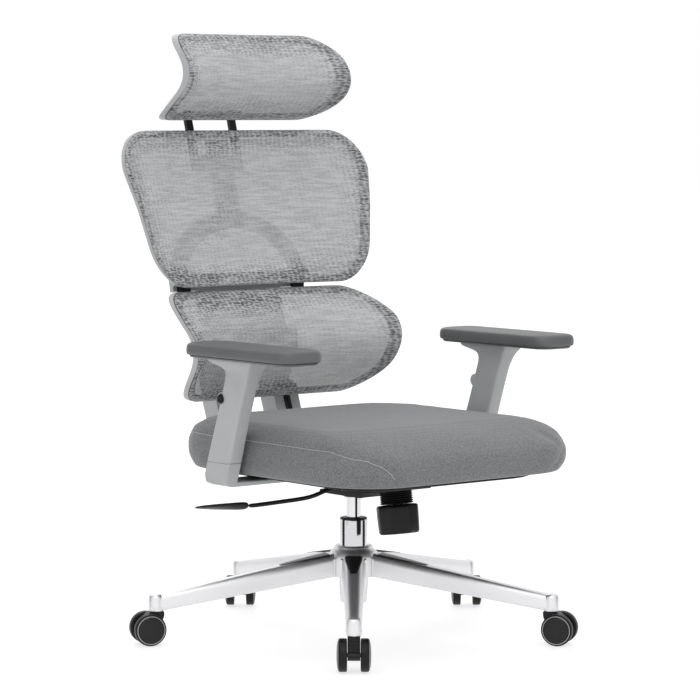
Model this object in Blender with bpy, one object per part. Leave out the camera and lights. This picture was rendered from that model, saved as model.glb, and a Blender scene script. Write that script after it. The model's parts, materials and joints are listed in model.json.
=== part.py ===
"""An ergonomic swivel chair: mesh headrest, back and lumbar panel, padded seat, five-star base.

The sitter faces -Y, +X is the sitter's left and +Z is up. Sizes are in metres. Every piece is worked
out from the column's axis, and one empty carries the column to its place over the origin.
"""

from math import atan2, cos, hypot, pi, radians, sin, tan

import bmesh
import bpy
from mathutils import Matrix, Vector

# The column's axis, placed so that the whole chair's box is centred over the origin.
COLUMN_X = -0.005
COLUMN_Y = -0.046

# Clearances.
GAP = 0.0003            # between faces that touch
RUNNING_GAP = 0.0006    # between faces that slide or turn past each other
TILT_GAP = 0.0015       # between the tilting plate and the fixed housing

# Casters.
WHEEL_RADIUS = 0.030
WHEEL_WIDTH = 0.0165
WHEEL_SIDES = 20
CAP_BULGE = 0.0025
AXLE_RADIUS = 0.004
FORK_WIDTH = 0.0225
CASTER_TRAIL = 0.016
STEM_RADIUS = 0.0052
STEM_LENGTH = 0.022
# Each caster's heading, in degrees away from its own leg's direction.
CASTER_TURNS = (0.0, 0.0, 36.0, -36.0, 0.0)

# Five-star base.
LEG_COUNT = 5
FIRST_LEG = radians(231)
LEG_REACH = 0.385
LEG_ROOT_START = 0.034
LEG_ROOT_WIDTH = 0.046
LEG_TIP_WIDTH = 0.026
LEG_ROOT_HEIGHT = 0.044
LEG_TIP_HEIGHT = 0.030
LEG_TIP_BOTTOM = 0.0615
LEG_RISE = 0.051        # of the leg's underside, from its tip to the hub
LEG_WALL = 0.0045
TIP_RADIUS = 0.014
HUB_RADIUS = 0.050
HUB_NECK_RADIUS = 0.034
HUB_HEIGHT = 0.058

# Gas lift.
TUBE_RADIUS = 0.0268
TUBE_WALL = 0.0016
TUBE_BELOW_HUB = 0.050
TUBE_ABOVE_HUB = 0.049
PISTON_RADIUS = 0.0142
PISTON_SHOWING = 0.043
PISTON_IN_TUBE = 0.115
BUSH_LENGTH = 0.060
BUSH_LIP = 0.004

# Tilt mechanism.
SOCKET_RADIUS = 0.0215
SOCKET_HEIGHT = 0.0085
PISTON_IN_SOCKET = 0.0142
HOUSING_WIDTH = 0.110
HOUSING_HEIGHT = 0.036
NOSE_STEP = 0.013       # of the nose's underside above the housing's
HOUSING_BACK = 0.034
HOUSING_FRONT = -0.160
PIVOT_Y = -0.050
SHAFT_RADIUS = 0.004
EAR_WIDTH = 0.032
EAR_THICKNESS = 0.004
CARRIER_THICKNESS = 0.005
CARRIER_WIDTH = 0.160
CARRIER_FRONT = -0.120
CARRIER_BACK = 0.055
TENSION_Y = -0.124
TENSION_TILT = radians(8)
GAITER_RADIUS = 0.0315
GAITER_GROOVE = 0.0035
GAITER_WALL = 0.0035
GAITER_HEIGHT = 0.024
GAITER_RIBS = 4
KNOB_RADIUS = 0.040
KNOB_HEIGHT = 0.055
BOLT_RADIUS = 0.004
BOLT_IN_NOSE = 0.004
SPRING_RADIUS = 0.0125
SPRING_WIRE = 0.0018
SPRING_TURNS = 4
LEVER_Y = -0.022
LEVER_UP = 0.0135        # of the lever's axis above the housing's underside
LEVER_ROD_RADIUS = 0.0045
LEVER_BLOCK = (0.014, 0.015, 0.0074)
LEVER_TRAVEL = 0.010
# The lever's rod after it leaves the housing: how far out, how far back and how far down.
LEVER_ELBOW = (0.174, 0.030, -0.022)
LEVER_END = (0.302, 0.040, -0.016)
PADDLE_LENGTH = 0.112
PADDLE_WIDTH = 0.026
PADDLE_THICKNESS = 0.008
PADDLE_ROLL = radians(42)   # at the rod's end; the tip is nearly level

# Seat.
SEAT_WIDTH = 0.570
SEAT_DEPTH = 0.595
SEAT_CENTRE_Y = -0.067
SEAT_CORNER = 0.120
CUSHION_HEIGHT = 0.091
PAN_THICKNESS = 0.0075
PAN_INSET = 0.062

# Arms.
ARM_LEAN = radians(19)
ARM_SIDE_GAP = 0.004
ARM_THICKNESS = 0.031
ARM_DEPTH = 0.064
ARM_FOOT_Y = 0.014
ARM_TONGUE_THICKNESS = 0.0095
ARM_TONGUE_LENGTH = 0.170
BRACKET_RISE = 0.047    # of the bracket's upright above the tongue's underside
SLEEVE_LENGTH = 0.1995
SLEEVE_FLARE = 0.128
FLARE_BACK = 0.020      # of the flare's middle behind the sleeve's top
POST_DEPTH = 0.038
POST_THICKNESS = 0.014
POST_SUNK = 0.034
POST_UP = 0.169
BUTTON_RADIUS = 0.0085
BOSS_RADIUS = 0.0125
BUTTON_UP = 0.113
BUTTON_PROUD = 0.004
BUTTON_TRAVEL = 0.003
BUTTON_DEEP = 0.0045
PAD_LENGTH = 0.315
PAD_WIDTH = 0.095
PAD_HEIGHT = 0.028
PAD_FORWARD = 0.021     # of the pad's middle ahead of the sleeve's top

# Back yoke: two legs from under the seat that lean back, joined by a bridge at the top.
YOKE_LEAN = radians(13)
YOKE_Y = 0.3225         # of the legs' middle where they clear the seat
YOKE_ABOVE_SEAT = 0.018
YOKE_HALF_SPAN = 0.071
YOKE_LEG_WIDTH = 0.060
YOKE_LEG_DEPTH = 0.045
YOKE_FOOT_DEPTH = 0.018
YOKE_UPPER_DEPTH = 0.024
YOKE_RISE = 0.130       # along the lean, from where the legs clear the seat
BRIDGE_HEIGHT = 0.050
YOKE_FOOT_Y = 0.075

# Back panels. Heights are above the cushion's top, and y is behind the column's axis.
RIM_WIDTH = 0.013
MESH_THICKNESS = 0.003
CORNER_STEPS = 6         # facets in each of a panel's round corners
SIDE_STEPS = 3
ACROSS_STEPS = 6
LUMBAR = {"width": 0.510, "bottom": 0.020, "top": 0.228, "corner": 0.066, "narrow": 0.90, "rim": 0.026,
          "y": 0.225, "spread": 0.0, "lean": 0.0, "wing": 0.066, "fade": 0.95, "upper_curl": 0.075, "lower_curl": 0.048}
BACK = {"width": 0.588, "bottom": 0.238, "top": 0.536, "corner": 0.075, "narrow": 0.845, "rim": 0.020,
        "y": 0.336, "spread": 0.45, "lean": 0.29, "wing": 0.042, "fade": 0.0, "upper_curl": 0.000, "lower_curl": 0.000}
HEADREST = {"width": 0.380, "bottom": 0.557, "top": 0.722, "corner": 0.050, "narrow": 1.08, "rim": 0.034,
            "y": 0.307, "spread": 0.0, "lean": 0.0, "wing": 0.045, "fade": 0.6, "upper_curl": 0.058, "lower_curl": 0.092}
CARRIER_PLATE = (0.200, 0.012)      # width and depth of the back's sliding plate
CARRIER_PLATE_FROM = 0.036          # along the yoke's lean
CARRIER_PLATE_TO = 0.238
CARRIER_BAR = (0.320, 0.028)        # width and height of the plate's top bar
LUMBAR_PIN_RADIUS = 0.004
LUMBAR_PIN_LENGTH = 0.150
LUMBAR_BRACKET = (0.110, 0.046)     # width and height
ARCH_HALF_WIDTH = 0.165
ARCH_FOOT = 0.238
ARCH_RISE = 0.140
ARCH_BAND = 0.034
ARCH_DEPTH = 0.010
ARCH_STANDOFF = 0.003    # from the sliding plate at its foot, for the arch leans further than the plate
ARCH_FOOT_HEIGHT = 0.020
SPINE_WIDTH = 0.050
SPINE_TOP = 0.515
LINK_X = 0.140
LINK_SIZE = (0.026, 0.014)
HEAD_POST_X = 0.053
HEAD_POST_SIZE = (0.016, 0.008)
HEAD_BRACKET_DROP = 0.060
HEAD_PLATE_HEIGHT = 0.034
HEAD_PIN_RADIUS = 0.003
LUG_X = 0.030
LUG_WIDTH = 0.014

# Heights worked up from the floor.
AXLE_HEIGHT = WHEEL_RADIUS * cos(pi / WHEEL_SIDES)
HUB_BOTTOM = LEG_TIP_BOTTOM + LEG_RISE - 0.002
HUB_TOP = HUB_BOTTOM + HUB_HEIGHT
TUBE_BOTTOM = HUB_BOTTOM - TUBE_BELOW_HUB
TUBE_TOP = HUB_TOP + TUBE_ABOVE_HUB
SOCKET_BOTTOM = TUBE_TOP + PISTON_SHOWING
PISTON_TOP = SOCKET_BOTTOM + PISTON_IN_SOCKET
HOUSING_BOTTOM = SOCKET_BOTTOM + SOCKET_HEIGHT
HOUSING_TOP = HOUSING_BOTTOM + HOUSING_HEIGHT
PIVOT_Z = HOUSING_TOP - 0.012
CARRIER_BOTTOM = HOUSING_TOP + TILT_GAP
PAN_BOTTOM = CARRIER_BOTTOM + CARRIER_THICKNESS + GAP
CUSHION_BOTTOM = PAN_BOTTOM + PAN_THICKNESS + GAP
CUSHION_TOP = CUSHION_BOTTOM + CUSHION_HEIGHT

# Moving pieces worked from the values above.
ARM_X = SEAT_WIDTH / 2 + ARM_SIDE_GAP + ARM_THICKNESS / 2
ARM_AXIS = Vector((0, -sin(ARM_LEAN), cos(ARM_LEAN)))
TONGUE_BOTTOM = PAN_BOTTOM - GAP - ARM_TONGUE_THICKNESS
BRACKET_TOP = TONGUE_BOTTOM + BRACKET_RISE
BRACKET_TOP_Y = ARM_FOOT_Y - (BRACKET_TOP - TONGUE_BOTTOM) * tan(ARM_LEAN)
TENSION_AXIS = Vector((0, -sin(TENSION_TILT), -cos(TENSION_TILT)))
NOSE_BOTTOM = HOUSING_BOTTOM + NOSE_STEP
YOKE_FRAME = (Matrix.Translation((0, YOKE_Y, CUSHION_TOP + YOKE_ABOVE_SEAT))
              @ Matrix.Rotation(-YOKE_LEAN, 4, "X"))
YOKE_UPPER_FRONT = YOKE_LEG_DEPTH / 2 - YOKE_UPPER_DEPTH
PLATE_BACK = YOKE_UPPER_FRONT - RUNNING_GAP
PLATE_FRONT = PLATE_BACK - CARRIER_PLATE[1]
LUMBAR_PIN_UP = ((LUMBAR["bottom"] + LUMBAR["top"]) / 2 - YOKE_ABOVE_SEAT) / cos(YOKE_LEAN)
LUMBAR_PIN = YOKE_FRAME @ Vector((0, PLATE_FRONT - 0.009, LUMBAR_PIN_UP))
ARCH_FOOT_Z = CUSHION_TOP + ARCH_FOOT
ARCH_FOOT_Y = (YOKE_FRAME @ Vector((0, PLATE_FRONT, (ARCH_FOOT - YOKE_ABOVE_SEAT) / cos(YOKE_LEAN)))).y \
    - ARCH_STANDOFF - ARCH_DEPTH / 2
BACK_LEAN = atan2(BACK["lean"], 1)
HEAD_FRAME = (Matrix.Translation((0, ARCH_FOOT_Y + (SPINE_TOP - ARCH_FOOT) * BACK["lean"],
                                  CUSHION_TOP + SPINE_TOP)) @ Matrix.Rotation(-BACK_LEAN, 4, "X"))
HEAD_PIN_UP = (HEADREST["bottom"] + RIM_WIDTH - SPINE_TOP) / cos(BACK_LEAN)
HEAD_POST_BACK = ARCH_DEPTH / 2 + RUNNING_GAP + HEAD_POST_SIZE[1] / 2
HEAD_PIN = HEAD_FRAME @ Vector((0, HEAD_POST_BACK, HEAD_PIN_UP))

frame_empty = None


def clear_scene():
    for thing in list(bpy.data.objects):
        bpy.data.objects.remove(thing, do_unlink=True)


def make_material(name, colour, roughness, metallic):
    material = bpy.data.materials.new(name)
    material.use_nodes = True
    shader = material.node_tree.nodes["Principled BSDF"]
    linear = [c / 12.92 if c <= 0.04045 else ((c + 0.055) / 1.055) ** 2.4 for c in colour]
    shader.inputs["Base Color"].default_value = (*linear, 1)
    shader.inputs["Roughness"].default_value = roughness
    shader.inputs["Metallic"].default_value = metallic
    material.diffuse_color = (*linear, 1)
    return material


FINISHES = {
    "grey_plastic": ((0.62, 0.63, 0.64), 0.45, 0.0),
    "black_plastic": ((0.11, 0.11, 0.12), 0.50, 0.0),
    "grey_mesh": ((0.55, 0.55, 0.57), 0.85, 0.0),
    "grey_fabric": ((0.45, 0.46, 0.47), 0.90, 0.0),
    "pad_foam": ((0.38, 0.38, 0.39), 0.60, 0.0),
    "polished_aluminium": ((0.86, 0.86, 0.87), 0.15, 1.0),
    "chrome": ((0.82, 0.82, 0.83), 0.10, 1.0),
    "steel": ((0.55, 0.55, 0.56), 0.35, 1.0),
    "rubber": ((0.08, 0.08, 0.08), 0.80, 0.0),
}


# Mesh building blocks. A shape is a pair: a list of points and a list of faces.

def loft(rings, closed=False):
    """Join like rings of points in order, with a cap on each end unless the loft closes on itself."""
    count = len(rings[0])
    points = [Vector(p) for ring in rings for p in ring]
    faces = []
    for i in range(len(rings) if closed else len(rings) - 1):
        a, b = i * count, (i + 1) % len(rings) * count
        for j in range(count):
            k = (j + 1) % count
            faces.append((a + j, a + k, b + k, b + j))
    if not closed:
        faces.append(tuple(reversed(range(count))))
        last = (len(rings) - 1) * count
        faces.append(tuple(range(last, last + count)))
    return points, faces


def turned(profile, sides, closed=False):
    """Turn a profile of (radius, height) about Z; a point of no radius becomes a pole."""
    points, rows = [], []
    for radius, height in profile:
        row = []
        for i in range(1 if radius < 1e-9 else sides):
            angle = 2 * pi * (i + 0.5) / sides
            row.append(len(points))
            points.append(Vector((radius * cos(angle), radius * sin(angle), height)))
        rows.append(row)
    faces = []
    for i in range(len(rows) if closed else len(rows) - 1):
        low, high = rows[i], rows[(i + 1) % len(rows)]
        for j in range(sides):
            k = (j + 1) % sides
            quad = [low[j % len(low)], low[k % len(low)], high[k % len(high)], high[j % len(high)]]
            faces.append(tuple(dict.fromkeys(quad)))
    if not closed:
        for row in (rows[0], rows[-1]):
            if len(row) > 1:
                faces.append(tuple(row))
    return points, faces


def bar(low, high):
    """A box between two corners."""
    (x0, y0, z0), (x1, y1, z1) = low, high
    return loft([[(x0, y0, z), (x1, y0, z), (x1, y1, z), (x0, y1, z)] for z in (z0, z1)])


def rod(start, end, radius, sides=12):
    """A round bar from one point to another."""
    start, end = Vector(start), Vector(end)
    turn = (end - start).to_track_quat("Z", "Y").to_matrix().to_4x4()
    shape = turned([(radius, 0), (radius, (end - start).length)], sides)
    return moved(shape, Matrix.Translation(start) @ turn)


def moved(shape, matrix):
    points, faces = shape
    return [matrix @ Vector(p) for p in points], faces


def prism(outline, low, high, axis="X"):
    """Extrude a flat outline along X or Z; for X the outline's points are (y, z)."""
    if axis == "X":
        return loft([[(x, y, z) for y, z in outline] for x in (low, high)])
    return loft([[(x, y, z) for x, y in outline] for z in (low, high)])


def rounded_outline(width, depth, corner, steps=6):
    """Points around a rectangle with round corners, centred on its own middle."""
    points = []
    for sx, sy, first in ((1, 1, 0), (-1, 1, 90), (-1, -1, 180), (1, -1, 270)):
        for i in range(steps + 1):
            angle = radians(first + 90 * i / steps)
            points.append((sx * (width / 2 - corner) + corner * cos(angle),
                           sy * (depth / 2 - corner) + corner * sin(angle)))
    return points


def mesh_of(shape, name):
    points, faces = shape
    mesh = bpy.data.meshes.new(name)
    mesh.from_pydata([tuple(p) for p in points], [], faces)
    work = bmesh.new()
    work.from_mesh(mesh)
    bmesh.ops.recalc_face_normals(work, faces=work.faces)
    work.to_mesh(mesh)
    work.free()
    return mesh


def combined(base, unions=(), cuts=(), name="piece"):
    """A shape joined with some shapes and cut by others, as one mesh."""
    target = bpy.data.objects.new(name, mesh_of(base, name))
    bpy.context.collection.objects.link(target)
    helpers = []
    for operation, shapes in (("UNION", unions), ("DIFFERENCE", cuts)):
        for shape in shapes:
            helper = bpy.data.objects.new("helper", mesh_of(shape, "helper"))
            bpy.context.collection.objects.link(helper)
            helpers.append(helper)
            modifier = target.modifiers.new(operation, "BOOLEAN")
            modifier.operation = operation
            modifier.solver = "EXACT"
            modifier.object = helper
    evaluated = target.evaluated_get(bpy.context.evaluated_depsgraph_get())
    mesh = bpy.data.meshes.new_from_object(evaluated)
    for thing in (*helpers, target):
        bpy.data.objects.remove(thing, do_unlink=True)
    return mesh


def shape_of(mesh):
    return [v.co.copy() for v in mesh.vertices], [tuple(p.vertices) for p in mesh.polygons]


def node(name, finish, shape_or_mesh, pivot=(0, 0, 0), turn=None, bevel=0.0, bevel_steps=2):
    """One named piece. Its points are in the chair's frame unless turn places them at the pivot."""
    mesh = shape_or_mesh
    if isinstance(mesh, tuple):
        if turn is None:
            mesh = moved(mesh, Matrix.Translation(-Vector(pivot)))
        mesh = mesh_of(mesh, name)
    piece = bpy.data.objects.new(name, mesh)
    bpy.context.collection.objects.link(piece)
    piece.parent = frame_empty
    piece.location = pivot
    if turn is not None:
        piece.rotation_euler = turn.to_euler()
    if not mesh.materials:
        mesh.materials.append(make_material(name, *FINISHES[finish]))
    mesh.shade_smooth()
    mesh.set_sharp_from_angle(angle=radians(35))
    if bevel:
        rounding = piece.modifiers.new("Rounded edges", "BEVEL")
        rounding.width = bevel
        rounding.segments = bevel_steps
        rounding.limit_method = "ANGLE"
        rounding.angle_limit = radians(40)
    return piece


# Five-star base and casters.

def leg_direction(k):
    return FIRST_LEG + 2 * pi * k / LEG_COUNT


def leg_section(reach, shrink, top_drop, bottom_drop):
    """A leg's outline at one distance from the column: a box with its upper edges chamfered."""
    share = (reach - LEG_ROOT_START) / (LEG_REACH - LEG_ROOT_START)
    half = (LEG_ROOT_WIDTH + share * (LEG_TIP_WIDTH - LEG_ROOT_WIDTH)) / 2 - shrink
    low = LEG_TIP_BOTTOM + LEG_RISE * (1 - share) - bottom_drop
    height = LEG_ROOT_HEIGHT + share * (LEG_TIP_HEIGHT - LEG_ROOT_HEIGHT)
    high = LEG_TIP_BOTTOM + LEG_RISE * (1 - share) + height - top_drop
    shoulder = high - 0.3 * height
    return [(reach, -half, low), (reach, half, low), (reach, half, shoulder),
            (reach, 0.62 * half, high), (reach, -0.62 * half, high), (reach, -half, shoulder)]


def star_leg():
    arm = loft([leg_section(r, 0, 0, 0) for r in (LEG_ROOT_START, LEG_REACH)])
    tip_top = LEG_TIP_BOTTOM + LEG_TIP_HEIGHT
    tip = turned([(TIP_RADIUS, LEG_TIP_BOTTOM), (TIP_RADIUS, tip_top - 0.003),
                  (TIP_RADIUS - 0.004, tip_top + 0.001)], 16)
    tip = moved(tip, Matrix.Translation((LEG_REACH, 0, 0)))
    inner = LEG_REACH - TIP_RADIUS - LEG_WALL
    channel = loft([leg_section(r, LEG_WALL, LEG_WALL, 0.01) for r in (HUB_RADIUS + LEG_WALL, inner)])
    socket = rod((LEG_REACH, 0, LEG_TIP_BOTTOM - 0.01),
                 (LEG_REACH, 0, LEG_TIP_BOTTOM + STEM_LENGTH + GAP), STEM_RADIUS + GAP)
    return shape_of(combined(arm, [tip], [channel, socket], "leg"))


def build_base():
    hub = turned([(TUBE_RADIUS + GAP, HUB_BOTTOM), (HUB_RADIUS, HUB_BOTTOM),
                  (HUB_RADIUS, HUB_TOP - 0.018), (HUB_RADIUS - 0.008, HUB_TOP - 0.013),
                  (HUB_NECK_RADIUS + 0.002, HUB_TOP - 0.004), (HUB_NECK_RADIUS, HUB_TOP),
                  (TUBE_RADIUS + GAP, HUB_TOP)], 32, closed=True)
    leg = star_leg()
    legs = [moved(leg, Matrix.Rotation(leg_direction(k), 4, "Z")) for k in range(LEG_COUNT)]
    node("star_base", "polished_aluminium", combined(hub, legs, [], "star_base"))
    tube = turned([(TUBE_RADIUS - TUBE_WALL, TUBE_BOTTOM), (TUBE_RADIUS - 0.002, TUBE_BOTTOM),
                   (TUBE_RADIUS, HUB_BOTTOM), (TUBE_RADIUS, TUBE_TOP),
                   (TUBE_RADIUS - TUBE_WALL, TUBE_TOP)], 32, closed=True)
    node("lift_tube", "chrome", tube)
    bush_inner = PISTON_RADIUS + RUNNING_GAP
    bush_outer = TUBE_RADIUS - TUBE_WALL - GAP
    bush = turned([(bush_inner, TUBE_TOP - BUSH_LENGTH), (bush_outer, TUBE_TOP - BUSH_LENGTH),
                   (bush_outer, TUBE_TOP + BUSH_LIP / 2), (bush_outer - 0.003, TUBE_TOP + BUSH_LIP),
                   (bush_inner, TUBE_TOP + BUSH_LIP)], 28, closed=True)
    node("tube_bush", "black_plastic", bush)
    piston = turned([(PISTON_RADIUS, TUBE_TOP - PISTON_IN_TUBE), (PISTON_RADIUS, PISTON_TOP)], 28)
    node("lift_piston", "chrome", piston)


def caster_meshes():
    """The pieces of a caster: swivel axis on Z, trailing along +X, axle along Y, floor at z = 0."""
    bore = AXLE_RADIUS + GAP
    edge = 0.003
    profile = [(0, 0.011), (bore, 0.011), (bore, 0), (WHEEL_RADIUS, 0),
               (WHEEL_RADIUS, WHEEL_WIDTH - edge), (WHEEL_RADIUS - edge, WHEEL_WIDTH),
               (0, WHEEL_WIDTH + CAP_BULGE)]
    disc = turned(profile, WHEEL_SIDES)
    inner_face = FORK_WIDTH / 2 + RUNNING_GAP
    wheels = []
    for side in (1, -1):
        # A quarter turn lays the disc's axis along Y and keeps a flat facet underneath.
        place = Matrix.Translation((0, side * inner_face, 0)) @ Matrix.Rotation(-side * pi / 2, 4, "X")
        wheels.append(mesh_of(moved(disc, place), "wheel"))
    reach = inner_face + 0.011 - GAP
    axle = mesh_of(rod((0, -reach, 0), (0, reach, 0), AXLE_RADIUS), "caster_axle")
    top = LEG_TIP_BOTTOM - GAP
    outline = [(-0.013, top), (0.013, top), (CASTER_TRAIL + 0.010, AXLE_HEIGHT + 0.023)]
    for i in range(9):
        angle = radians(55 - 22 * i)
        outline.append((CASTER_TRAIL + 0.021 * cos(angle), AXLE_HEIGHT + 0.010 * sin(angle)))
    outline += [(CASTER_TRAIL - 0.024, AXLE_HEIGHT + 0.008), (-0.013, top - 0.008)]
    rings = [[(x, y, z) for x, z in outline] for y in (-FORK_WIDTH / 2, FORK_WIDTH / 2)]
    stem = rod((0, 0, top - 0.006), (0, 0, top + STEM_LENGTH), STEM_RADIUS)
    hole = rod((CASTER_TRAIL, -0.03, AXLE_HEIGHT), (CASTER_TRAIL, 0.03, AXLE_HEIGHT),
               AXLE_RADIUS + RUNNING_GAP)
    return wheels, axle, combined(loft(rings), [stem], [hole], "caster_fork")


def build_casters():
    wheels, axle, fork = caster_meshes()
    for k in range(LEG_COUNT):
        direction = leg_direction(k)
        heading = direction + radians(CASTER_TURNS[k])
        tip = Vector((LEG_REACH * cos(direction), LEG_REACH * sin(direction), 0))
        centre = tip + Vector((CASTER_TRAIL * cos(heading), CASTER_TRAIL * sin(heading), AXLE_HEIGHT))
        turn = Matrix.Rotation(heading, 4, "Z")
        number = k + 1
        node(f"caster_fork_{number}", "black_plastic", fork, tip, turn)
        node(f"caster_axle_{number}", "steel", axle, centre, turn)
        node(f"wheel_left_{number}", "rubber", wheels[0], centre, turn)
        node(f"wheel_right_{number}", "rubber", wheels[1], centre, turn)


# Tilt mechanism, lever and tension knob.

def tension_frame():
    """Places a shape made along Z at the tension spring's top, with +Z pointing up its axis."""
    top = Vector((0, TENSION_Y, NOSE_BOTTOM))
    return Matrix.Translation(top) @ Matrix.Rotation(-TENSION_TILT, 4, "X")


def build_mechanism():
    slope = tan(TENSION_TILT)
    rear = HOUSING_BOTTOM + 0.006
    outline = [(HOUSING_BACK, HOUSING_BOTTOM), (HOUSING_BACK, rear), (0, rear + 0.007),
               (PIVOT_Y + 0.005, HOUSING_TOP), (HOUSING_FRONT, HOUSING_TOP),
               (HOUSING_FRONT, NOSE_BOTTOM + (TENSION_Y - HOUSING_FRONT) * slope),
               (TENSION_Y + 0.032, NOSE_BOTTOM - 0.032 * slope),
               (TENSION_Y + 0.040, HOUSING_BOTTOM)]
    body = prism(outline, -HOUSING_WIDTH / 2, HOUSING_WIDTH / 2)
    socket = turned([(SOCKET_RADIUS - 0.002, SOCKET_BOTTOM), (SOCKET_RADIUS, SOCKET_BOTTOM + 0.003),
                     (SOCKET_RADIUS, HOUSING_BOTTOM + 0.003)], 28)
    bore = rod((0, 0, SOCKET_BOTTOM - 0.01), (0, 0, PISTON_TOP + GAP), PISTON_RADIUS + GAP, 28)
    shaft_hole = rod((-0.08, PIVOT_Y, PIVOT_Z), (0.08, PIVOT_Y, PIVOT_Z), SHAFT_RADIUS + GAP)
    half = HOUSING_WIDTH / 2
    block_x, block_y, block_z = LEVER_BLOCK
    lever_z = HOUSING_BOTTOM + LEVER_UP
    pocket = bar((-half - 0.01, LEVER_Y - block_y / 2 - RUNNING_GAP, lever_z - block_z / 2 - RUNNING_GAP),
                 (-half + block_x + 0.006, LEVER_Y + block_y / 2 + RUNNING_GAP,
                  lever_z + block_z / 2 + RUNNING_GAP))
    place = tension_frame()
    bolt_hole = moved(rod((0, 0, -0.02), (0, 0, BOLT_IN_NOSE + GAP), BOLT_RADIUS + GAP), place)
    housing = combined(body, [socket], [bore, shaft_hole, pocket, bolt_hole], "mechanism_housing")
    node("mechanism_housing", "black_plastic", housing)
    reach = half + RUNNING_GAP + EAR_THICKNESS + 0.003
    node("tilt_shaft", "steel", rod((-reach, PIVOT_Y, PIVOT_Z), (reach, PIVOT_Y, PIVOT_Z), SHAFT_RADIUS),
         (0, PIVOT_Y, PIVOT_Z))
    build_lever(-half + 0.0025, lever_z)
    build_tension(place)


def build_lever(block_face, lever_z):
    """The sliding block in the housing's side, and the bent rod and paddle that pivot on it."""
    block_x, block_y, block_z = LEVER_BLOCK
    pivot = Vector((block_face + block_x / 2, LEVER_Y, lever_z))
    block = bar((block_face, LEVER_Y - block_y / 2, lever_z - block_z / 2),
                (block_face + block_x, LEVER_Y + block_y / 2, lever_z + block_z / 2))
    node("lever_block", "steel", block, pivot)
    start = Vector((block_face - RUNNING_GAP, LEVER_Y, lever_z))
    elbow, end = [start + Vector((-x, y, z)) for x, y, z in (LEVER_ELBOW, LEVER_END)]
    drop = start + Vector((-0.030, 0.004, -0.002))
    route = [start, drop, drop + Vector((-0.026, 0.005, -0.013)), elbow.lerp(drop, 0.4) - Vector((0, 0, 0.004)),
             elbow, elbow.lerp(end, 0.12)]
    rings = []
    for i, point in enumerate(route):
        ahead = route[min(i + 1, len(route) - 1)] - route[max(i - 1, 0)]
        across = Vector((0, 0, 1)).cross(ahead).normalized()
        up = ahead.cross(across).normalized()
        radius = LEVER_ROD_RADIUS * (0.75 if i == 0 else 1)
        rings.append([point + radius * (across * cos(a) + up * sin(a))
                      for a in (2 * pi * j / 8 for j in range(8))])
    node("lever_rod", "steel", loft(rings), pivot)
    along = (end - elbow).normalized()
    side = Vector((0, 0, 1)).cross(along).normalized()
    lift = along.cross(side)
    first = route[-1] + along * GAP
    stations = ((0.0, 0.50, 1.3), (0.10, 0.80, 1.3), (0.4, 0.95, 1.0), (0.8, 1.0, 0.8), (0.95, 0.8, 0.6),
                (1.0, 0.5, 0.4))
    rings = []
    for share, width, thickness in stations:
        middle = first + along * PADDLE_LENGTH * share
        half_w, half_t = width * PADDLE_WIDTH / 2, thickness * PADDLE_THICKNESS / 2
        roll = PADDLE_ROLL * (1 - 0.75 * share)
        wide = side * cos(roll) + lift * sin(roll)
        thick = lift * cos(roll) - side * sin(roll)
        rings.append([middle + wide * half_w * a + thick * half_t * b for a, b in
                      ((-1, -0.4), (-0.6, -1), (0.6, -1), (1, -0.4), (1, 0.4), (0.6, 1), (-0.6, 1),
                       (-1, 0.4))])
    node("lever_paddle", "black_plastic", loft(rings), pivot)


def build_tension(place):
    pivot = Vector((0, TENSION_Y, NOSE_BOTTOM))
    rib = (GAITER_HEIGHT - 2 * GAP) / GAITER_RIBS
    outer = []
    for i in range(GAITER_RIBS):
        base = -GAITER_HEIGHT + GAP + rib * i
        outer += [(GAITER_RADIUS - GAITER_GROOVE, base), (GAITER_RADIUS, base + rib * 0.35),
                  (GAITER_RADIUS, base + rib * 0.65)]
    inside = GAITER_RADIUS - GAITER_GROOVE - GAITER_WALL
    profile = outer + [(GAITER_RADIUS - GAITER_GROOVE, -GAP), (inside, -GAP), (inside, -GAITER_HEIGHT + GAP)]
    node("spring_gaiter", "rubber", moved(turned(profile, 24, closed=True), place))
    coil_steps = SPRING_TURNS * 12
    bottom, top = -GAITER_HEIGHT + 0.004, -0.004
    rings = []
    for i in range(coil_steps + 1):
        angle = 2 * pi * i / 12
        height = bottom + (top - bottom) * i / coil_steps
        centre = Vector((SPRING_RADIUS * cos(angle), SPRING_RADIUS * sin(angle), height))
        outward = Vector((cos(angle), sin(angle), 0))
        rings.append([centre + SPRING_WIRE * (outward * cos(a) + Vector((0, 0, 1)) * sin(a))
                      for a in (2 * pi * j / 6 for j in range(6))])
    node("tension_spring", "steel", moved(loft(rings), place))
    low = -GAITER_HEIGHT - KNOB_HEIGHT
    points = []
    sides = 36
    for radius, height in ((KNOB_RADIUS - 0.007, low), (KNOB_RADIUS - 0.002, low + 0.005),
                           (KNOB_RADIUS - 0.003, -GAITER_HEIGHT - 0.010),
                           (KNOB_RADIUS - 0.010, -GAITER_HEIGHT - RUNNING_GAP)):
        points.append([(r * cos(a), r * sin(a), height) for r, a in
                       ((radius - (0.0025 if i % 3 == 0 else 0), 2 * pi * i / sides) for i in range(sides))])
    bolt_bore = rod((0, 0, low + 0.015), (0, 0, 0.01), BOLT_RADIUS + GAP)
    knob = combined(moved(loft(points), place), [], [moved(bolt_bore, place)], "tension_knob")
    knob.transform(Matrix.Translation(-pivot))
    node("tension_knob", "black_plastic", knob, pivot)
    bolt = moved(rod((0, 0, low + 0.015 + GAP), (0, 0, BOLT_IN_NOSE), BOLT_RADIUS), place)
    node("tension_bolt", "steel", bolt, pivot)


# Seat and the plate that carries it.

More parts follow.
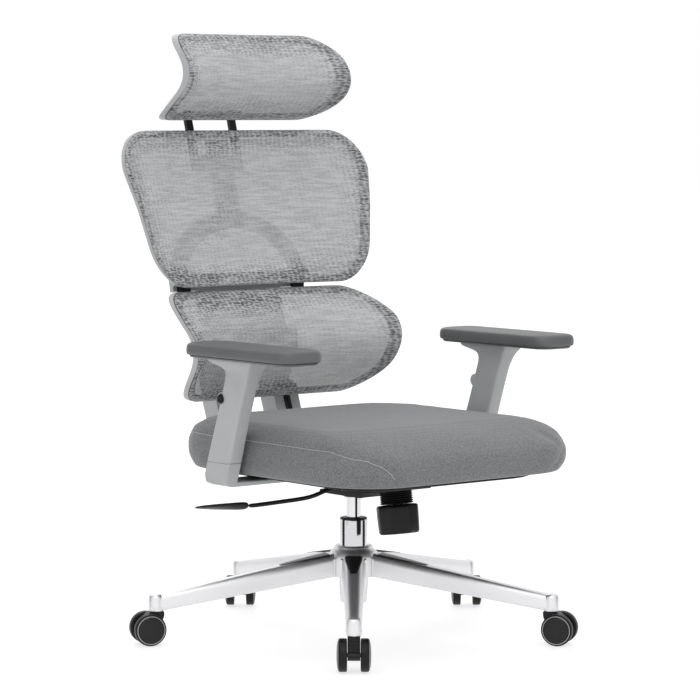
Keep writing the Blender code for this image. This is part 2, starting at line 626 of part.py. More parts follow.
def build_seat():
    pivot = (0, PIVOT_Y, PIVOT_Z)
    plate = bar((-CARRIER_WIDTH / 2, CARRIER_FRONT, CARRIER_BOTTOM),
                (CARRIER_WIDTH / 2, CARRIER_BACK, CARRIER_BOTTOM + CARRIER_THICKNESS))
    inner = HOUSING_WIDTH / 2 + RUNNING_GAP
    ears = []
    for side in (-1, 1):
        x0, x1 = sorted((side * inner, side * (inner + EAR_THICKNESS)))
        ears.append(bar((x0, PIVOT_Y - EAR_WIDTH / 2, PIVOT_Z - 0.010),
                        (x1, PIVOT_Y + EAR_WIDTH / 2, CARRIER_BOTTOM + 0.002)))
    hole = rod((-0.09, PIVOT_Y, PIVOT_Z), (0.09, PIVOT_Y, PIVOT_Z), SHAFT_RADIUS + GAP)
    mesh = combined(plate, ears, [hole], "tilt_carrier")
    mesh.transform(Matrix.Translation(-Vector(pivot)))
    node("tilt_carrier", "steel", mesh, pivot)
    outline = rounded_outline(SEAT_WIDTH - 2 * PAN_INSET, SEAT_DEPTH - 2 * PAN_INSET,
                              SEAT_CORNER - PAN_INSET / 2, 5)
    outline = [(x, y + SEAT_CENTRE_Y) for x, y in outline]
    node("seat_pan", "black_plastic", prism(outline, PAN_BOTTOM, PAN_BOTTOM + PAN_THICKNESS, "Z"), pivot)
    node("seat_cushion", "grey_fabric", cushion_shape(), pivot)


def cushion_shape():
    """A crowned pad whose front edge rolls down like a waterfall."""
    rings = []
    # How high each ring is, how far inside the outline, and how much it follows the front's roll.
    for share, inset, roll in ((0.0, 0.016, 0.0), (0.16, 0.003, 0.1), (0.50, 0.0, 0.3),
                               (0.80, 0.006, 0.7), (0.94, 0.024, 1.0), (1.0, 0.070, 1.0)):
        ring = []
        for x, y in rounded_outline(SEAT_WIDTH - 2 * inset, SEAT_DEPTH - 2 * inset,
                                    max(SEAT_CORNER - inset / 2, 0.03), 6):
            ahead = max(0.0, -y / (SEAT_DEPTH / 2) - 0.35) / 0.65
            drop = 0.034 * roll * ahead * ahead
            ring.append((x, y + SEAT_CENTRE_Y, CUSHION_BOTTOM + share * CUSHION_HEIGHT - drop))
        rings.append(ring)
    centre = Vector((0, SEAT_CENTRE_Y, CUSHION_TOP - 0.002))
    points, faces = loft(rings)
    faces.pop()
    top = (len(rings) - 1) * len(rings[0])
    points.append(centre)
    for j in range(len(rings[0])):
        faces.append((top + j, top + (j + 1) % len(rings[0]), len(points) - 1))
    return points, faces


# Arms.

def arm_frame(side):
    """The arm's own frame: its origin is on the bracket's top, with +Z up the slanted post."""
    place = Matrix.Translation((side * ARM_X, BRACKET_TOP_Y, BRACKET_TOP))
    return place @ Matrix.Rotation(ARM_LEAN, 4, "X")


def sleeve_shape(side, place):
    """A leaning sleeve that flares fore and aft into a level top under the pad."""
    rings = []
    # How far up each ring is, its depth and width, how level it is and how far back its middle sits.
    for share, depth, width, level, back in (
            (0.0, ARM_DEPTH / cos(ARM_LEAN), 1.0, 1.0, 0.0), (0.22, ARM_DEPTH * 0.97, 1.0, 0.0, 0.0),
            (0.45, ARM_DEPTH * 0.94, 1.0, 0.0, 0.0),
            (0.80, ARM_DEPTH * 0.96, 1.0, 0.2, 0.001), (0.88, ARM_DEPTH * 1.14, 1.12, 0.6, 0.15),
            (0.945, SLEEVE_FLARE * 0.80, 1.4, 0.95, 0.7), (1.0, SLEEVE_FLARE, 1.6, 1.0, 1.0)):
        centre = place @ Vector((0, 0, GAP + SLEEVE_LENGTH * share))
        centre.y += FLARE_BACK * back
        tilt = Matrix.Rotation(ARM_LEAN * (1 - level), 3, "X")
        half_width, half_depth = ARM_THICKNESS * width / 2, depth / 2
        rings.append([centre + tilt @ Vector((a * half_width, b * half_depth, 0))
                      for a, b in ((-1, -0.8), (-0.7, -1), (0.7, -1), (1, -0.8), (1, 0.8), (0.7, 1),
                                   (-0.7, 1), (-1, 0.8))])
    return loft(rings)


def build_arm(side):
    name = "left" if side > 0 else "right"
    place = arm_frame(side)
    half_t, half_d = ARM_THICKNESS / 2, ARM_DEPTH / 2
    tongue_top = TONGUE_BOTTOM + ARM_TONGUE_THICKNESS
    inner, outer = ARM_X - half_t, ARM_X + half_t
    foot = ARM_FOOT_Y

    def upright(z):
        y = foot - (z - TONGUE_BOTTOM) * tan(ARM_LEAN)
        return y - half_d / cos(ARM_LEAN), y + half_d / cos(ARM_LEAN)

    # The bracket's outline across the chair, lofted fore and aft and sheared to the arm's lean.
    outline = [(inner - ARM_TONGUE_LENGTH, TONGUE_BOTTOM), (outer - 0.022, TONGUE_BOTTOM),
               (outer - 0.006, TONGUE_BOTTOM + 0.006), (outer, TONGUE_BOTTOM + 0.022),
               (outer, BRACKET_TOP), (inner, BRACKET_TOP), (inner, tongue_top),
               (inner - ARM_TONGUE_LENGTH, tongue_top)]
    rings = []
    for end in (0, 1):
        ring = []
        for x, z in outline:
            ring.append((side * x, upright(z)[end], z))
        rings.append(ring)
    pocket = moved(bar((-POST_THICKNESS / 2 - GAP, -POST_DEPTH / 2 - GAP, -POST_SUNK - GAP),
                       (POST_THICKNESS / 2 + GAP, POST_DEPTH / 2 + GAP, 0.03)), place)
    node(f"arm_bracket_{name}", "grey_plastic", combined(loft(rings), [], [pocket], "arm_bracket"))
    post = moved(bar((-POST_THICKNESS / 2, -POST_DEPTH / 2, -POST_SUNK),
                     (POST_THICKNESS / 2, POST_DEPTH / 2, POST_UP)), place)
    node(f"arm_post_{name}", "black_plastic", post)
    cavity = moved(bar((-POST_THICKNESS / 2 - RUNNING_GAP, -POST_DEPTH / 2 - RUNNING_GAP, -0.01),
                       (POST_THICKNESS / 2 + RUNNING_GAP, POST_DEPTH / 2 + RUNNING_GAP,
                        POST_UP + 0.002)), place)
    # The button's boss stands on the sleeve's rear edge, and the button is let into its outer face.
    boss_y = half_d * 0.95 - 0.003
    boss = moved(rod((-half_t + 0.0005, boss_y, BUTTON_UP), (half_t - 0.0005, boss_y, BUTTON_UP),
                     BOSS_RADIUS, 24), place)
    face = side * (half_t - 0.0005)
    floor = face - side * (BUTTON_DEEP + BUTTON_TRAVEL + GAP)
    hole = moved(rod((face + side * 0.02, boss_y, BUTTON_UP), (floor, boss_y, BUTTON_UP),
                     BUTTON_RADIUS + GAP, 20), place)
    node(f"arm_sleeve_{name}", "grey_plastic", combined(sleeve_shape(side, place), [boss], [cavity, hole],
                                                       "arm_sleeve"))
    button = rod((face - side * BUTTON_DEEP, boss_y, BUTTON_UP), (face + side * BUTTON_PROUD, boss_y, BUTTON_UP),
                 BUTTON_RADIUS, 20)
    button_place = place @ Vector((face, boss_y, BUTTON_UP))
    node(f"arm_button_{name}", "black_plastic", moved(button, place), button_place, bevel=0.0008,
         bevel_steps=1)
    build_pad(side, name, place)


def build_pad(side, name, place):
    top = place @ Vector((0, 0, GAP + SLEEVE_LENGTH))
    low = top.z + GAP
    middle_y = top.y - PAD_FORWARD
    rings = []
    for share, inset in ((0.0, 0.010), (0.25, 0.001), (0.60, 0.0), (0.86, 0.004), (1.0, 0.014)):
        outline = rounded_outline(PAD_WIDTH - 2 * inset, PAD_LENGTH - 2 * inset, 0.027 - inset / 2, 4)
        rings.append([(side * ARM_X + x, middle_y + y, low + share * PAD_HEIGHT) for x, y in outline])
    node(f"arm_pad_{name}", "pad_foam", loft(rings), (side * ARM_X, middle_y, low))


# Back yoke, sliding back, lumbar panel and headrest.

def yoke_leg(side):
    low = PAN_BOTTOM - GAP - YOKE_FOOT_DEPTH / 2
    half = YOKE_LEG_DEPTH / 2
    # Each station's middle (y, z) and depth, from the foot to where the leg clears the seat.
    route = [(YOKE_FOOT_Y, low, YOKE_FOOT_DEPTH), (YOKE_Y - 0.134, low, YOKE_FOOT_DEPTH),
             (YOKE_Y - 0.095, low - 0.001, YOKE_FOOT_DEPTH * 1.5), (YOKE_Y - 0.052, low + 0.018, half * 1.7),
             (YOKE_Y - 0.026, low + 0.054, YOKE_LEG_DEPTH)]
    rings = []
    for i, (y, z, depth) in enumerate(route):
        y0, z0, _ = route[max(i - 1, 0)]
        y1, z1, _ = route[min(i + 1, len(route) - 1)]
        length = hypot(y1 - y0, z1 - z0)
        normal = Vector((0, -(z1 - z0) / length, (y1 - y0) / length)) * depth / 2
        rings.append((Vector((0, y, z)) - normal, Vector((0, y, z)) + normal))
    # Then up the lean: the leg steps back to leave room for the sliding plate in front of it.
    for up, front in ((0, -half), (0.014, -half), (0.028, YOKE_UPPER_FRONT), (YOKE_RISE, YOKE_UPPER_FRONT)):
        rings.append((YOKE_FRAME @ Vector((0, half, up)), YOKE_FRAME @ Vector((0, front, up))))
    across = Vector((YOKE_LEG_WIDTH / 2, 0, 0))
    middle = Vector((side * YOKE_HALF_SPAN, 0, 0))
    return loft([[middle + back - across, middle + back + across, middle + front + across,
                  middle + front - across] for back, front in rings])


def build_yoke():
    low = PAN_BOTTOM - GAP - YOKE_FOOT_DEPTH
    bridge = moved(bar((-YOKE_HALF_SPAN, YOKE_UPPER_FRONT + 0.002, YOKE_RISE - BRIDGE_HEIGHT),
                       (YOKE_HALF_SPAN, YOKE_LEG_DEPTH / 2 - 0.002, YOKE_RISE - 0.003)), YOKE_FRAME)
    tie = bar((-YOKE_HALF_SPAN, YOKE_FOOT_Y + 0.010, low + 0.003),
              (YOKE_HALF_SPAN, YOKE_FOOT_Y + 0.050, low + 0.013))
    mesh = combined(yoke_leg(-1), [yoke_leg(1), bridge, tie], [], "back_yoke")
    node("back_yoke", "grey_plastic", mesh)


def panel_outline(panel, inset):
    """Points (x, z) around a panel: a round-cornered shape that narrows towards its bottom."""
    height = panel["top"] - panel["bottom"]
    corner = panel["corner"]
    half_x, half_z = panel["width"] / 2 - corner, height / 2 - corner
    middle = (panel["top"] + panel["bottom"]) / 2
    corners = ((half_x, half_z, 90, SIDE_STEPS), (half_x, -half_z, 0, ACROSS_STEPS),
               (-half_x, -half_z, -90, SIDE_STEPS), (-half_x, half_z, 180, ACROSS_STEPS))
    points = []
    for k, (cx, cz, first, straight) in enumerate(corners):
        for i in range(CORNER_STEPS + 1):
            angle = radians(first - 90 * i / CORNER_STEPS)
            offset = Vector((cos(angle), sin(angle))) * (corner - inset)
            points.append(Vector((cx, cz)) + offset)
        next_start = Vector(corners[(k + 1) % 4][:2]) + offset
        last = points[-1]
        points += [last.lerp(next_start, i / straight) for i in range(1, straight)]
    shaped = []
    for x, z in points:
        up = (z + height / 2) / height
        x *= panel["narrow"] + (1 - panel["narrow"]) * min(1.0, up * 1.35)
        shaped.append((x, CUSHION_TOP + middle + z))
    return shaped


def panel_depth(panel, x, z):
    """How far back a panel's surface is at a point: it leans, curls and wraps forward at its wings."""
    middle = CUSHION_TOP + (panel["top"] + panel["bottom"]) / 2
    half_height = (panel["top"] - panel["bottom"]) / 2
    share = (z - middle) / half_height
    curl = panel["upper_curl"] if share > 0 else panel["lower_curl"]
    side = min(1.0, abs(x) / (panel["width"] / 2))
    wing = panel["wing"] * side ** 2.2 * (1 - panel["fade"] * min(1.0, share * share))
    wing *= 1 - panel["spread"] * max(0.0, min(1.0, share))
    return panel["y"] + (z - middle) * panel["lean"] + curl * share * share - wing


def rim_shape(panel):
    """The panel's frame: a ring that follows its outline and its curved surface."""
    half = panel["rim"] / 2
    section = [(0.0, -half * 0.5), (0.0, half * 0.6), (RIM_WIDTH * 0.3, half), (RIM_WIDTH, half * 0.8),
               (RIM_WIDTH, -half * 0.7), (RIM_WIDTH * 0.4, -half)]
    outlines = [panel_outline(panel, inset) for inset, _ in section]
    rings = []
    for i in range(len(outlines[0])):
        ring = []
        for (_, back), outline in zip(section, outlines):
            x, z = outline[i]
            ring.append((x, panel_depth(panel, x, z) + back, z))
        rings.append(ring)
    return loft(rings, closed=True)


def sheet_shape(panel):
    """The mesh stretched inside a panel's frame, as a thin solid that follows the curved surface."""
    outline = panel_outline(panel, RIM_WIDTH + 2 * GAP)
    count = len(outline)
    middle = CUSHION_TOP + (panel["top"] + panel["bottom"]) / 2
    points, faces = [], []
    shares = (1.0, 0.72, 0.40)
    for back in (-MESH_THICKNESS / 2, MESH_THICKNESS / 2):
        for share in shares:
            for x, z in outline:
                x, z = x * share, middle + (z - middle) * share
                points.append((x, panel_depth(panel, x, z) + back, z))
        points.append((0, panel_depth(panel, 0, middle) + back, middle))
    per_side = len(shares) * count + 1
    for side in (0, 1):
        base = side * per_side
        for i in range(count):
            j = (i + 1) % count
            for ring in range(len(shares) - 1):
                a, b = base + ring * count, base + (ring + 1) * count
                faces.append((a + i, a + j, b + j, b + i))
            last = base + (len(shares) - 1) * count
            faces.append((last + i, last + j, base + per_side - 1))
    for i in range(count):
        j = (i + 1) % count
        faces.append((i, j, per_side + j, per_side + i))
    return points, faces


def build_back():
    half = CARRIER_PLATE[0] / 2
    plate = bar((-half, PLATE_FRONT, CARRIER_PLATE_FROM), (half, PLATE_BACK, CARRIER_PLATE_TO - 0.004))
    half = CARRIER_BAR[0] / 2
    top_bar = bar((-half, PLATE_FRONT, CARRIER_PLATE_TO - CARRIER_BAR[1]),
                  (half, PLATE_BACK - 0.001, CARRIER_PLATE_TO))
    inside = LUMBAR_BRACKET[0] / 2 + RUNNING_GAP
    knuckles = []
    for side in (-1, 1):
        x0, x1 = sorted((side * inside, side * (inside + 0.012)))
        knuckles.append(bar((x0, PLATE_FRONT - 0.017, LUMBAR_PIN_UP - 0.009),
                            (x1, PLATE_BACK - 0.003, LUMBAR_PIN_UP + 0.009)))
    pin_reach = Vector((LUMBAR_PIN_LENGTH / 2, 0, 0))
    hole = rod(LUMBAR_PIN - pin_reach, LUMBAR_PIN + pin_reach, LUMBAR_PIN_RADIUS + GAP)
    parts = [moved(shape, YOKE_FRAME) for shape in (plate, top_bar, *knuckles)]
    node("back_carrier", "grey_plastic", combined(parts[0], parts[1:], [hole], "back_carrier"))
    pin_reach *= 0.97
    node("lumbar_pin", "steel", rod(LUMBAR_PIN - pin_reach, LUMBAR_PIN + pin_reach, LUMBAR_PIN_RADIUS))
    node("back_frame", "grey_plastic", rim_shape(BACK))
    node("back_mesh", "grey_mesh", sheet_shape(BACK))
    build_arch()


def arch_depth(z):
    """The arch stands behind the back's mesh and leans with it."""
    return ARCH_FOOT_Y + (z - ARCH_FOOT_Z) * BACK["lean"]


def build_arch():
    """The arched stiffener and spine behind the main panel, and the two clips that hold its frame."""
    steps = 14
    rings = []
    for i in range(steps + 1):
        angle = pi * i / steps
        x0, z0 = ARCH_HALF_WIDTH * cos(angle), ARCH_FOOT_Z + ARCH_RISE * sin(angle)
        x1 = (ARCH_HALF_WIDTH - ARCH_BAND) * cos(angle)
        z1 = ARCH_FOOT_Z + (ARCH_RISE - ARCH_BAND) * sin(angle)
        rings.append([(x, arch_depth(z) + back, z) for x, z, back in
                      ((x0, z0, -ARCH_DEPTH / 2), (x0, z0, ARCH_DEPTH / 2), (x1, z1, ARCH_DEPTH / 2),
                       (x1, z1, -ARCH_DEPTH / 2))])
    half = ARCH_DEPTH / 2
    foot = bar((-ARCH_HALF_WIDTH, ARCH_FOOT_Y - half, ARCH_FOOT_Z - 0.002),
               (ARCH_HALF_WIDTH, ARCH_FOOT_Y + half, ARCH_FOOT_Z + ARCH_FOOT_HEIGHT))
    spine = moved(bar((-SPINE_WIDTH / 2, -half, -(SPINE_TOP - ARCH_FOOT - ARCH_RISE) / cos(BACK_LEAN) - 0.014),
                      (SPINE_WIDTH / 2, half, 0)), HEAD_FRAME)
    node("back_arch", "grey_plastic", combined(foot, [loft(rings), spine], [], "back_arch"))
    rim_back = panel_depth(BACK, LINK_X, ARCH_FOOT_Z) + BACK["rim"] / 2 + 0.004
    for side, name in ((1, "left"), (-1, "right")):
        x = side * LINK_X
        clip = bar((x - LINK_SIZE[0] / 2, rim_back, ARCH_FOOT_Z),
                   (x + LINK_SIZE[0] / 2, ARCH_FOOT_Y - half - GAP, ARCH_FOOT_Z + LINK_SIZE[1]))
        node(f"back_clip_{name}", "black_plastic", clip)


def build_lumbar():
    node("lumbar_frame", "grey_plastic", rim_shape(LUMBAR), LUMBAR_PIN)
    node("lumbar_mesh", "grey_mesh", sheet_shape(LUMBAR), LUMBAR_PIN)
    half_w, half_h = LUMBAR_BRACKET[0] / 2, LUMBAR_BRACKET[1] / 2
    front = LUMBAR["y"] + MESH_THICKNESS / 2 + 0.014
    _, pin_y, pin_z = LUMBAR_PIN
    body = bar((-half_w, front, pin_z - half_h), (half_w, front + 0.010, pin_z + half_h))
    neck = bar((-half_w, front + 0.006, pin_z - 0.007), (half_w, pin_y + 0.0065, pin_z + 0.007))
    hole = rod((-0.1, pin_y, pin_z), (0.1, pin_y, pin_z), LUMBAR_PIN_RADIUS + GAP)
    mesh = combined(body, [neck], [hole], "lumbar_bracket")
    mesh.transform(Matrix.Translation(-LUMBAR_PIN))
    node("lumbar_bracket", "grey_plastic", mesh, LUMBAR_PIN)


def build_headrest():
    """The headrest tilts on a pin held by two posts, which slide up behind the spine's top."""
    half_w, half_d = HEAD_POST_SIZE[0] / 2, HEAD_POST_SIZE[1] / 2
    front, back = HEAD_POST_BACK - half_d, HEAD_POST_BACK + half_d
    plate = bar((-HEAD_POST_X, front + 0.0005, -HEAD_BRACKET_DROP),
                (HEAD_POST_X, back - 0.0005, HEAD_PLATE_HEIGHT - HEAD_BRACKET_DROP))
    posts = [bar((side * HEAD_POST_X - half_w, front, 0.002 - HEAD_BRACKET_DROP),
                 (side * HEAD_POST_X + half_w, back, HEAD_PIN_UP + 0.007)) for side in (-1, 1)]
    pin = rod((-HEAD_POST_X, HEAD_POST_BACK, HEAD_PIN_UP), (HEAD_POST_X, HEAD_POST_BACK, HEAD_PIN_UP),
              HEAD_PIN_RADIUS)
    parts = [moved(shape, HEAD_FRAME) for shape in (plate, *posts, pin)]
    node("headrest_bracket", "black_plastic", combined(parts[0], parts[1:], [], "headrest_bracket"))
    _, pin_y, pin_z = HEAD_PIN
    lug_front = panel_depth(HEADREST, 0, pin_z) + MESH_THICKNESS / 2 + RUNNING_GAP
    lugs = [bar((side * LUG_X - LUG_WIDTH / 2, lug_front, pin_z - 0.0065),
                (side * LUG_X + LUG_WIDTH / 2, pin_y + 0.0065, pin_z + 0.0065)) for side in (-1, 1)]
    hole = rod((-0.06, pin_y, pin_z), (0.06, pin_y, pin_z), HEAD_PIN_RADIUS + GAP)
    mesh = combined(rim_shape(HEADREST), lugs, [hole], "headrest_frame")
    mesh.transform(Matrix.Translation(-HEAD_PIN))
    node("headrest_frame", "grey_plastic", mesh, HEAD_PIN)
    node("headrest_mesh", "grey_mesh", sheet_shape(HEADREST), HEAD_PIN)


def main():
    global frame_empty
    clear_scene()
    frame_empty = bpy.data.objects.new("column_axis", None)
    bpy.context.collection.objects.link(frame_empty)
    frame_empty.location = (COLUMN_X, COLUMN_Y, 0)
    build_base()
    build_casters()
    build_mechanism()
    build_seat()
    for side in (1, -1):
        build_arm(side)
    build_yoke()
    build_back()
    build_lumbar()
    build_headrest()


main()
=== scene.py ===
"""Ergonomic swivel chair: mesh headrest, back and lumbar panels, padded seat, five-star base.

The sitter faces -Y, +X is the sitter's left and +Z is up. Sizes are in metres. Every place is given from
the gas lift's axis, and piece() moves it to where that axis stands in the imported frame.
"""

import json
from math import atan, cos, exp, pi, radians, sin

import bmesh
import bpy
from bpy.props import FloatProperty, FloatVectorProperty, PointerProperty
from mathutils import Matrix, Vector
from mathutils.bvhtree import BVHTree
from mathutils.kdtree import KDTree


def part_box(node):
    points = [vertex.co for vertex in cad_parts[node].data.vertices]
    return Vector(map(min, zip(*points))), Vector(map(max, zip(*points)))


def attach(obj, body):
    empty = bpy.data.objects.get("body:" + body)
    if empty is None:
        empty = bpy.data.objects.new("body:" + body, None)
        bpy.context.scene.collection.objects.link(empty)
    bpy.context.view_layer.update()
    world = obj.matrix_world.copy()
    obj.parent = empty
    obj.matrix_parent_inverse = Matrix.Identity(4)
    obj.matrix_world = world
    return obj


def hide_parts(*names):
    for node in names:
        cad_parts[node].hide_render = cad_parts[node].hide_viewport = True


bl_info = {
    "name": "Mesh swivel chair",
    "version": (1, 0, 0),
    "blender": (4, 5, 0),
    "location": "3D View > Sidebar > Chair",
    "description": "Builds an ergonomic mesh swivel chair around its packed frame",
    "category": "Add Mesh",
}

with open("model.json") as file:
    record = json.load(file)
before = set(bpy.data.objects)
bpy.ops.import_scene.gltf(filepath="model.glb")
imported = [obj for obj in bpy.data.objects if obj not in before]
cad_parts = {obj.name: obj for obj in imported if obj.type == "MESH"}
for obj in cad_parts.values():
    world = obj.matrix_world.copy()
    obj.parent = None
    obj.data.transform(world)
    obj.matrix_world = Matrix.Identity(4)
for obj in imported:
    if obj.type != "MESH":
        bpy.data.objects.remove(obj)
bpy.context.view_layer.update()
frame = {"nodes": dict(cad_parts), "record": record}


def middle_of(node):
    low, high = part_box(node)
    return (Vector(low) + Vector(high)) / 2


def top_of(node):
    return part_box(node)[1][2]


def bottom_of(node):
    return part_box(node)[0][2]


AXIS = Vector((middle_of("lift_piston").x, middle_of("lift_piston").y, 0))
SEAT_TOP = top_of("seat_cushion")


def linear(code):
    """A colour's sRGB hex value as the linear numbers that the shaders take."""
    parts = [int(code[i:i + 2], 16) / 255 for i in (1, 3, 5)]
    return tuple(c / 12.92 if c <= 0.04045 else ((c + 0.055) / 1.055) ** 2.4 for c in parts)


def length(name, description, default):
    return FloatProperty(name=name, description=description, default=default, min=0, unit="LENGTH",
                         precision=4)


def colour(name, description, default):
    return FloatVectorProperty(name=name, description=description, default=linear(default),
                               subtype="COLOR", size=3, min=0, max=1)


class ChairSizes(bpy.types.PropertyGroup):
    """Sizes that a user would change."""

    edge: length("Moulded edge", "Rounding of the moulded pieces' edges", 0.0018)
    leg_wall: length("Leg wall", "Wall of the base's hollow legs", 0.0045)
    gaiter_rib: length("Gaiter rib", "How far the gaiter's ribs stand out", 0.0032)
    seam_depth: length("Seam depth", "How far the cushion pulls in at its seams", 0.0022)
    piping: length("Piping", "Radius of the sewn edges", 0.0008)
    mesh_cell: length("Mesh cell", "Spacing of the back mesh's cells", 0.0046)
    cloth_pitch: length("Cloth pitch", "Spacing of the seat cloth's threads", 0.0016)
    camera_distance: length("Camera distance", "From the camera to the chair's axis", 5.7)


class ChairColours(bpy.types.PropertyGroup):
    """Colours that a user would change."""

    grey_plastic: colour("Grey plastic", "Frames, arms and yoke", "#A0A2A3")
    black_plastic: colour("Black plastic", "Mechanism, knob and caster forks", "#0D0D0F")
    aluminium: colour("Aluminium", "The star base", "#E6E6E8")
    chrome: colour("Chrome", "The gas lift", "#DADADC")
    thread: colour("Mesh thread", "The back mesh's yarn", "#A5A6A8")
    thread_gap: colour("Mesh gap", "Between the back mesh's yarns", "#444547")
    cloth: colour("Seat cloth", "The seat's cover", "#707173")
    cloth_dark: colour("Seat cloth's dark yarn", "The darker yarn in the seat's cover", "#58595B")
    pad: colour("Arm pad", "The arms' soft pads", "#545556")
    wheel_cap: colour("Wheel cap", "The caster wheels' discs", "#1A1A1B")
    wheel_ring: colour("Wheel ring", "The thin ring on each wheel's disc", "#A8A8A8")
    floor: colour("Floor", "The studio floor", "#A2A2A2")


def sizes():
    return bpy.context.scene.chair_sizes


def colours():
    return bpy.context.scene.chair_colours


# Materials.

def add(tree, kind, settings=None, links=None):
    """A node with its settings, and the sockets that feed its inputs."""
    node = tree.nodes.new(kind)
    for key, value in (settings or {}).items():
        if isinstance(key, str) and hasattr(node, key):
            setattr(node, key, value)
        else:
            node.inputs[key].default_value = value
    for key, source in (links or {}).items():
        tree.links.new(source, node.inputs[key])
    return node


def new_material(name, base, roughness, metallic=0.0, **more):
    """A named material, its node tree, its shader and the place on the piece that patterns use."""
    material = bpy.data.materials.new(name)
    material.use_nodes = True
    tree = material.node_tree
    shader = tree.nodes["Principled BSDF"]
    shader.inputs["Base Color"].default_value = (*base, 1)
    shader.inputs["Roughness"].default_value = roughness
    shader.inputs["Metallic"].default_value = metallic
    for key, value in more.items():
        shader.inputs[key.replace("_", " ")].default_value = value
    material.diffuse_color = (*base, 1)
    place = add(tree, "ShaderNodeTexCoord").outputs["Object"]
    return material, tree, shader, place


def ranged(tree, value, low, high, from_low=0.0, from_high=1.0):
    return add(tree, "ShaderNodeMapRange", {"From Min": from_low, "From Max": from_high, "To Min": low,
                                            "To Max": high}, {"Value": value}).outputs["Result"]


def mixed(tree, factor, one, other):
    node = add(tree, "ShaderNodeMix", {"data_type": "RGBA", 6: (*one, 1), 7: (*other, 1)}, {0: factor})
    return node.outputs[2]


def shaded(colour_value, share):
    return tuple(c * share for c in colour_value)


def bumped(tree, shader, height, depth, strength=1.0):
    bump = add(tree, "ShaderNodeBump", {"Strength": strength, "Distance": depth}, {"Height": height})
    tree.links.new(bump.outputs["Normal"], shader.inputs["Normal"])


def maths(tree, operation, *values, **settings):
    """A Math node's result from sockets and plain numbers."""
    numbers = {i: value for i, value in enumerate(values) if isinstance(value, (int, float))}
    sockets = {i: value for i, value in enumerate(values) if i not in numbers}
    return add(tree, "ShaderNodeMath", {"operation": operation, **numbers, **settings}, sockets).outputs[0]


def multiplied(tree, one, other):
    return add(tree, "ShaderNodeMix", {"data_type": "RGBA", "blend_type": "MULTIPLY", 0: 1.0},
               {6: one, 7: other}).outputs[2]


def drawn_out(tree, place, share):
    """The place with its two level directions shrunk, so that a pattern runs long across the piece."""
    return add(tree, "ShaderNodeVectorMath", {"operation": "MULTIPLY", 1: (share, share, 1.0)},
               {0: place}).outputs[0]


def noise(tree, place, size, detail=2.0, roughness=0.5, distortion=0.0):
    """A noise whose features are about size metres across."""
    return add(tree, "ShaderNodeTexNoise", {"Scale": 1 / size, "Detail": detail, "Roughness": roughness,
                                            "Distortion": distortion}, {"Vector": place}).outputs["Fac"]


def polished_aluminium():
    # Die-cast aluminium, ground and polished: bright, with faint waves that the polishing wheel leaves.
    material, tree, shader, place = new_material("Die-cast aluminium, polished", colours().aluminium,
                                                 0.40, 1.0)
    waves = noise(tree, place, 0.030, 3)
    tree.links.new(ranged(tree, waves, 0.34, 0.46), shader.inputs["Roughness"])
    bumped(tree, shader, noise(tree, place, 0.012, 2), 0.0002, 0.25)
    return material


def chromed_steel():
    # Ground steel tube with hard chrome: a mirror with fine rings from the grinding.
    material, tree, shader, place = new_material("Steel tube, ground and chromed", colours().chrome,
                                                 0.07, 1.0)
    rings = noise(tree, drawn_out(tree, place, 0.05), 0.0012, 2)
    tree.links.new(ranged(tree, rings, 0.04, 0.13), shader.inputs["Roughness"])
    bumped(tree, shader, rings, 0.00005, 0.3)
    return material


def moulded(name, base, grain, roughness, depth=0.00012, tone=0.07, **more):
    """A moulded plastic with a spark-eroded grain and a little change of tone over its surface."""
    material, tree, shader, place = new_material(name, base, roughness, **more)
    drift = noise(tree, place, 0.060, 3)
    tree.links.new(mixed(tree, drift, shaded(base, 1 - tone), shaded(base, 1 + tone)),
                   shader.inputs["Base Color"])
    pits = noise(tree, place, grain, 3, 0.6)
    tree.links.new(ranged(tree, pits, roughness - 0.07, roughness + 0.09), shader.inputs["Roughness"])
    bumped(tree, shader, pits, depth, 0.6)
    return material


def grey_plastic():
    # Polypropylene with glass fibre, moulded: satin light grey, its grain drawn at 1.2 mm so that it shows.
    return moulded("Polypropylene, moulded light grey", colours().grey_plastic, 0.0012, 0.42)


DULL = {"Specular_IOR_Level": 0.26}     # for the black plastics, which would grey in the white studio


def black_plastic():
    # Nylon with glass fibre, moulded: near black, satin, with an eroded grain.
    return moulded("Nylon, moulded black", colours().black_plastic, 0.0010, 0.30, tone=0.2, **DULL)


def cap_plastic():
    # Nylon, moulded with a finer grain on the wheels' domed discs.
    return moulded("Nylon, moulded charcoal", colours().wheel_cap, 0.0009, 0.28, tone=0.1, **DULL)


def ring_plastic():
    # ABS, moulded: the thin light ring that is pressed into each wheel.
    return moulded("ABS, moulded silver grey", colours().wheel_ring, 0.0010, 0.32)


def tread_plastic():
    # Polyurethane, cast: the wheels' soft black tread.
    return moulded("Polyurethane, cast black tread", shaded(colours().black_plastic, 0.9), 0.0014, 0.42,
                   0.0002, **DULL)


def rubber():
    # Chloroprene rubber, moulded: dull black bellows.
    return moulded("Chloroprene rubber, moulded", shaded(colours().black_plastic, 0.9), 0.0012, 0.5,
                   **DULL)


def painted_steel():
    # Pressed steel, powder coated: black with the coat's orange peel.
    return moulded("Steel, powder coated black", colours().black_plastic, 0.0022, 0.44, 0.0002)


def plated_steel():
    # Cold-drawn steel with zinc plating: grey metal with fine marks of drawing.
    material, tree, shader, place = new_material("Steel, zinc plated", linear("#8E9194"), 0.32, 1.0)
    marks = noise(tree, place, 0.0025, 4)
    tree.links.new(ranged(tree, marks, 0.22, 0.42), shader.inputs["Roughness"])
    return material


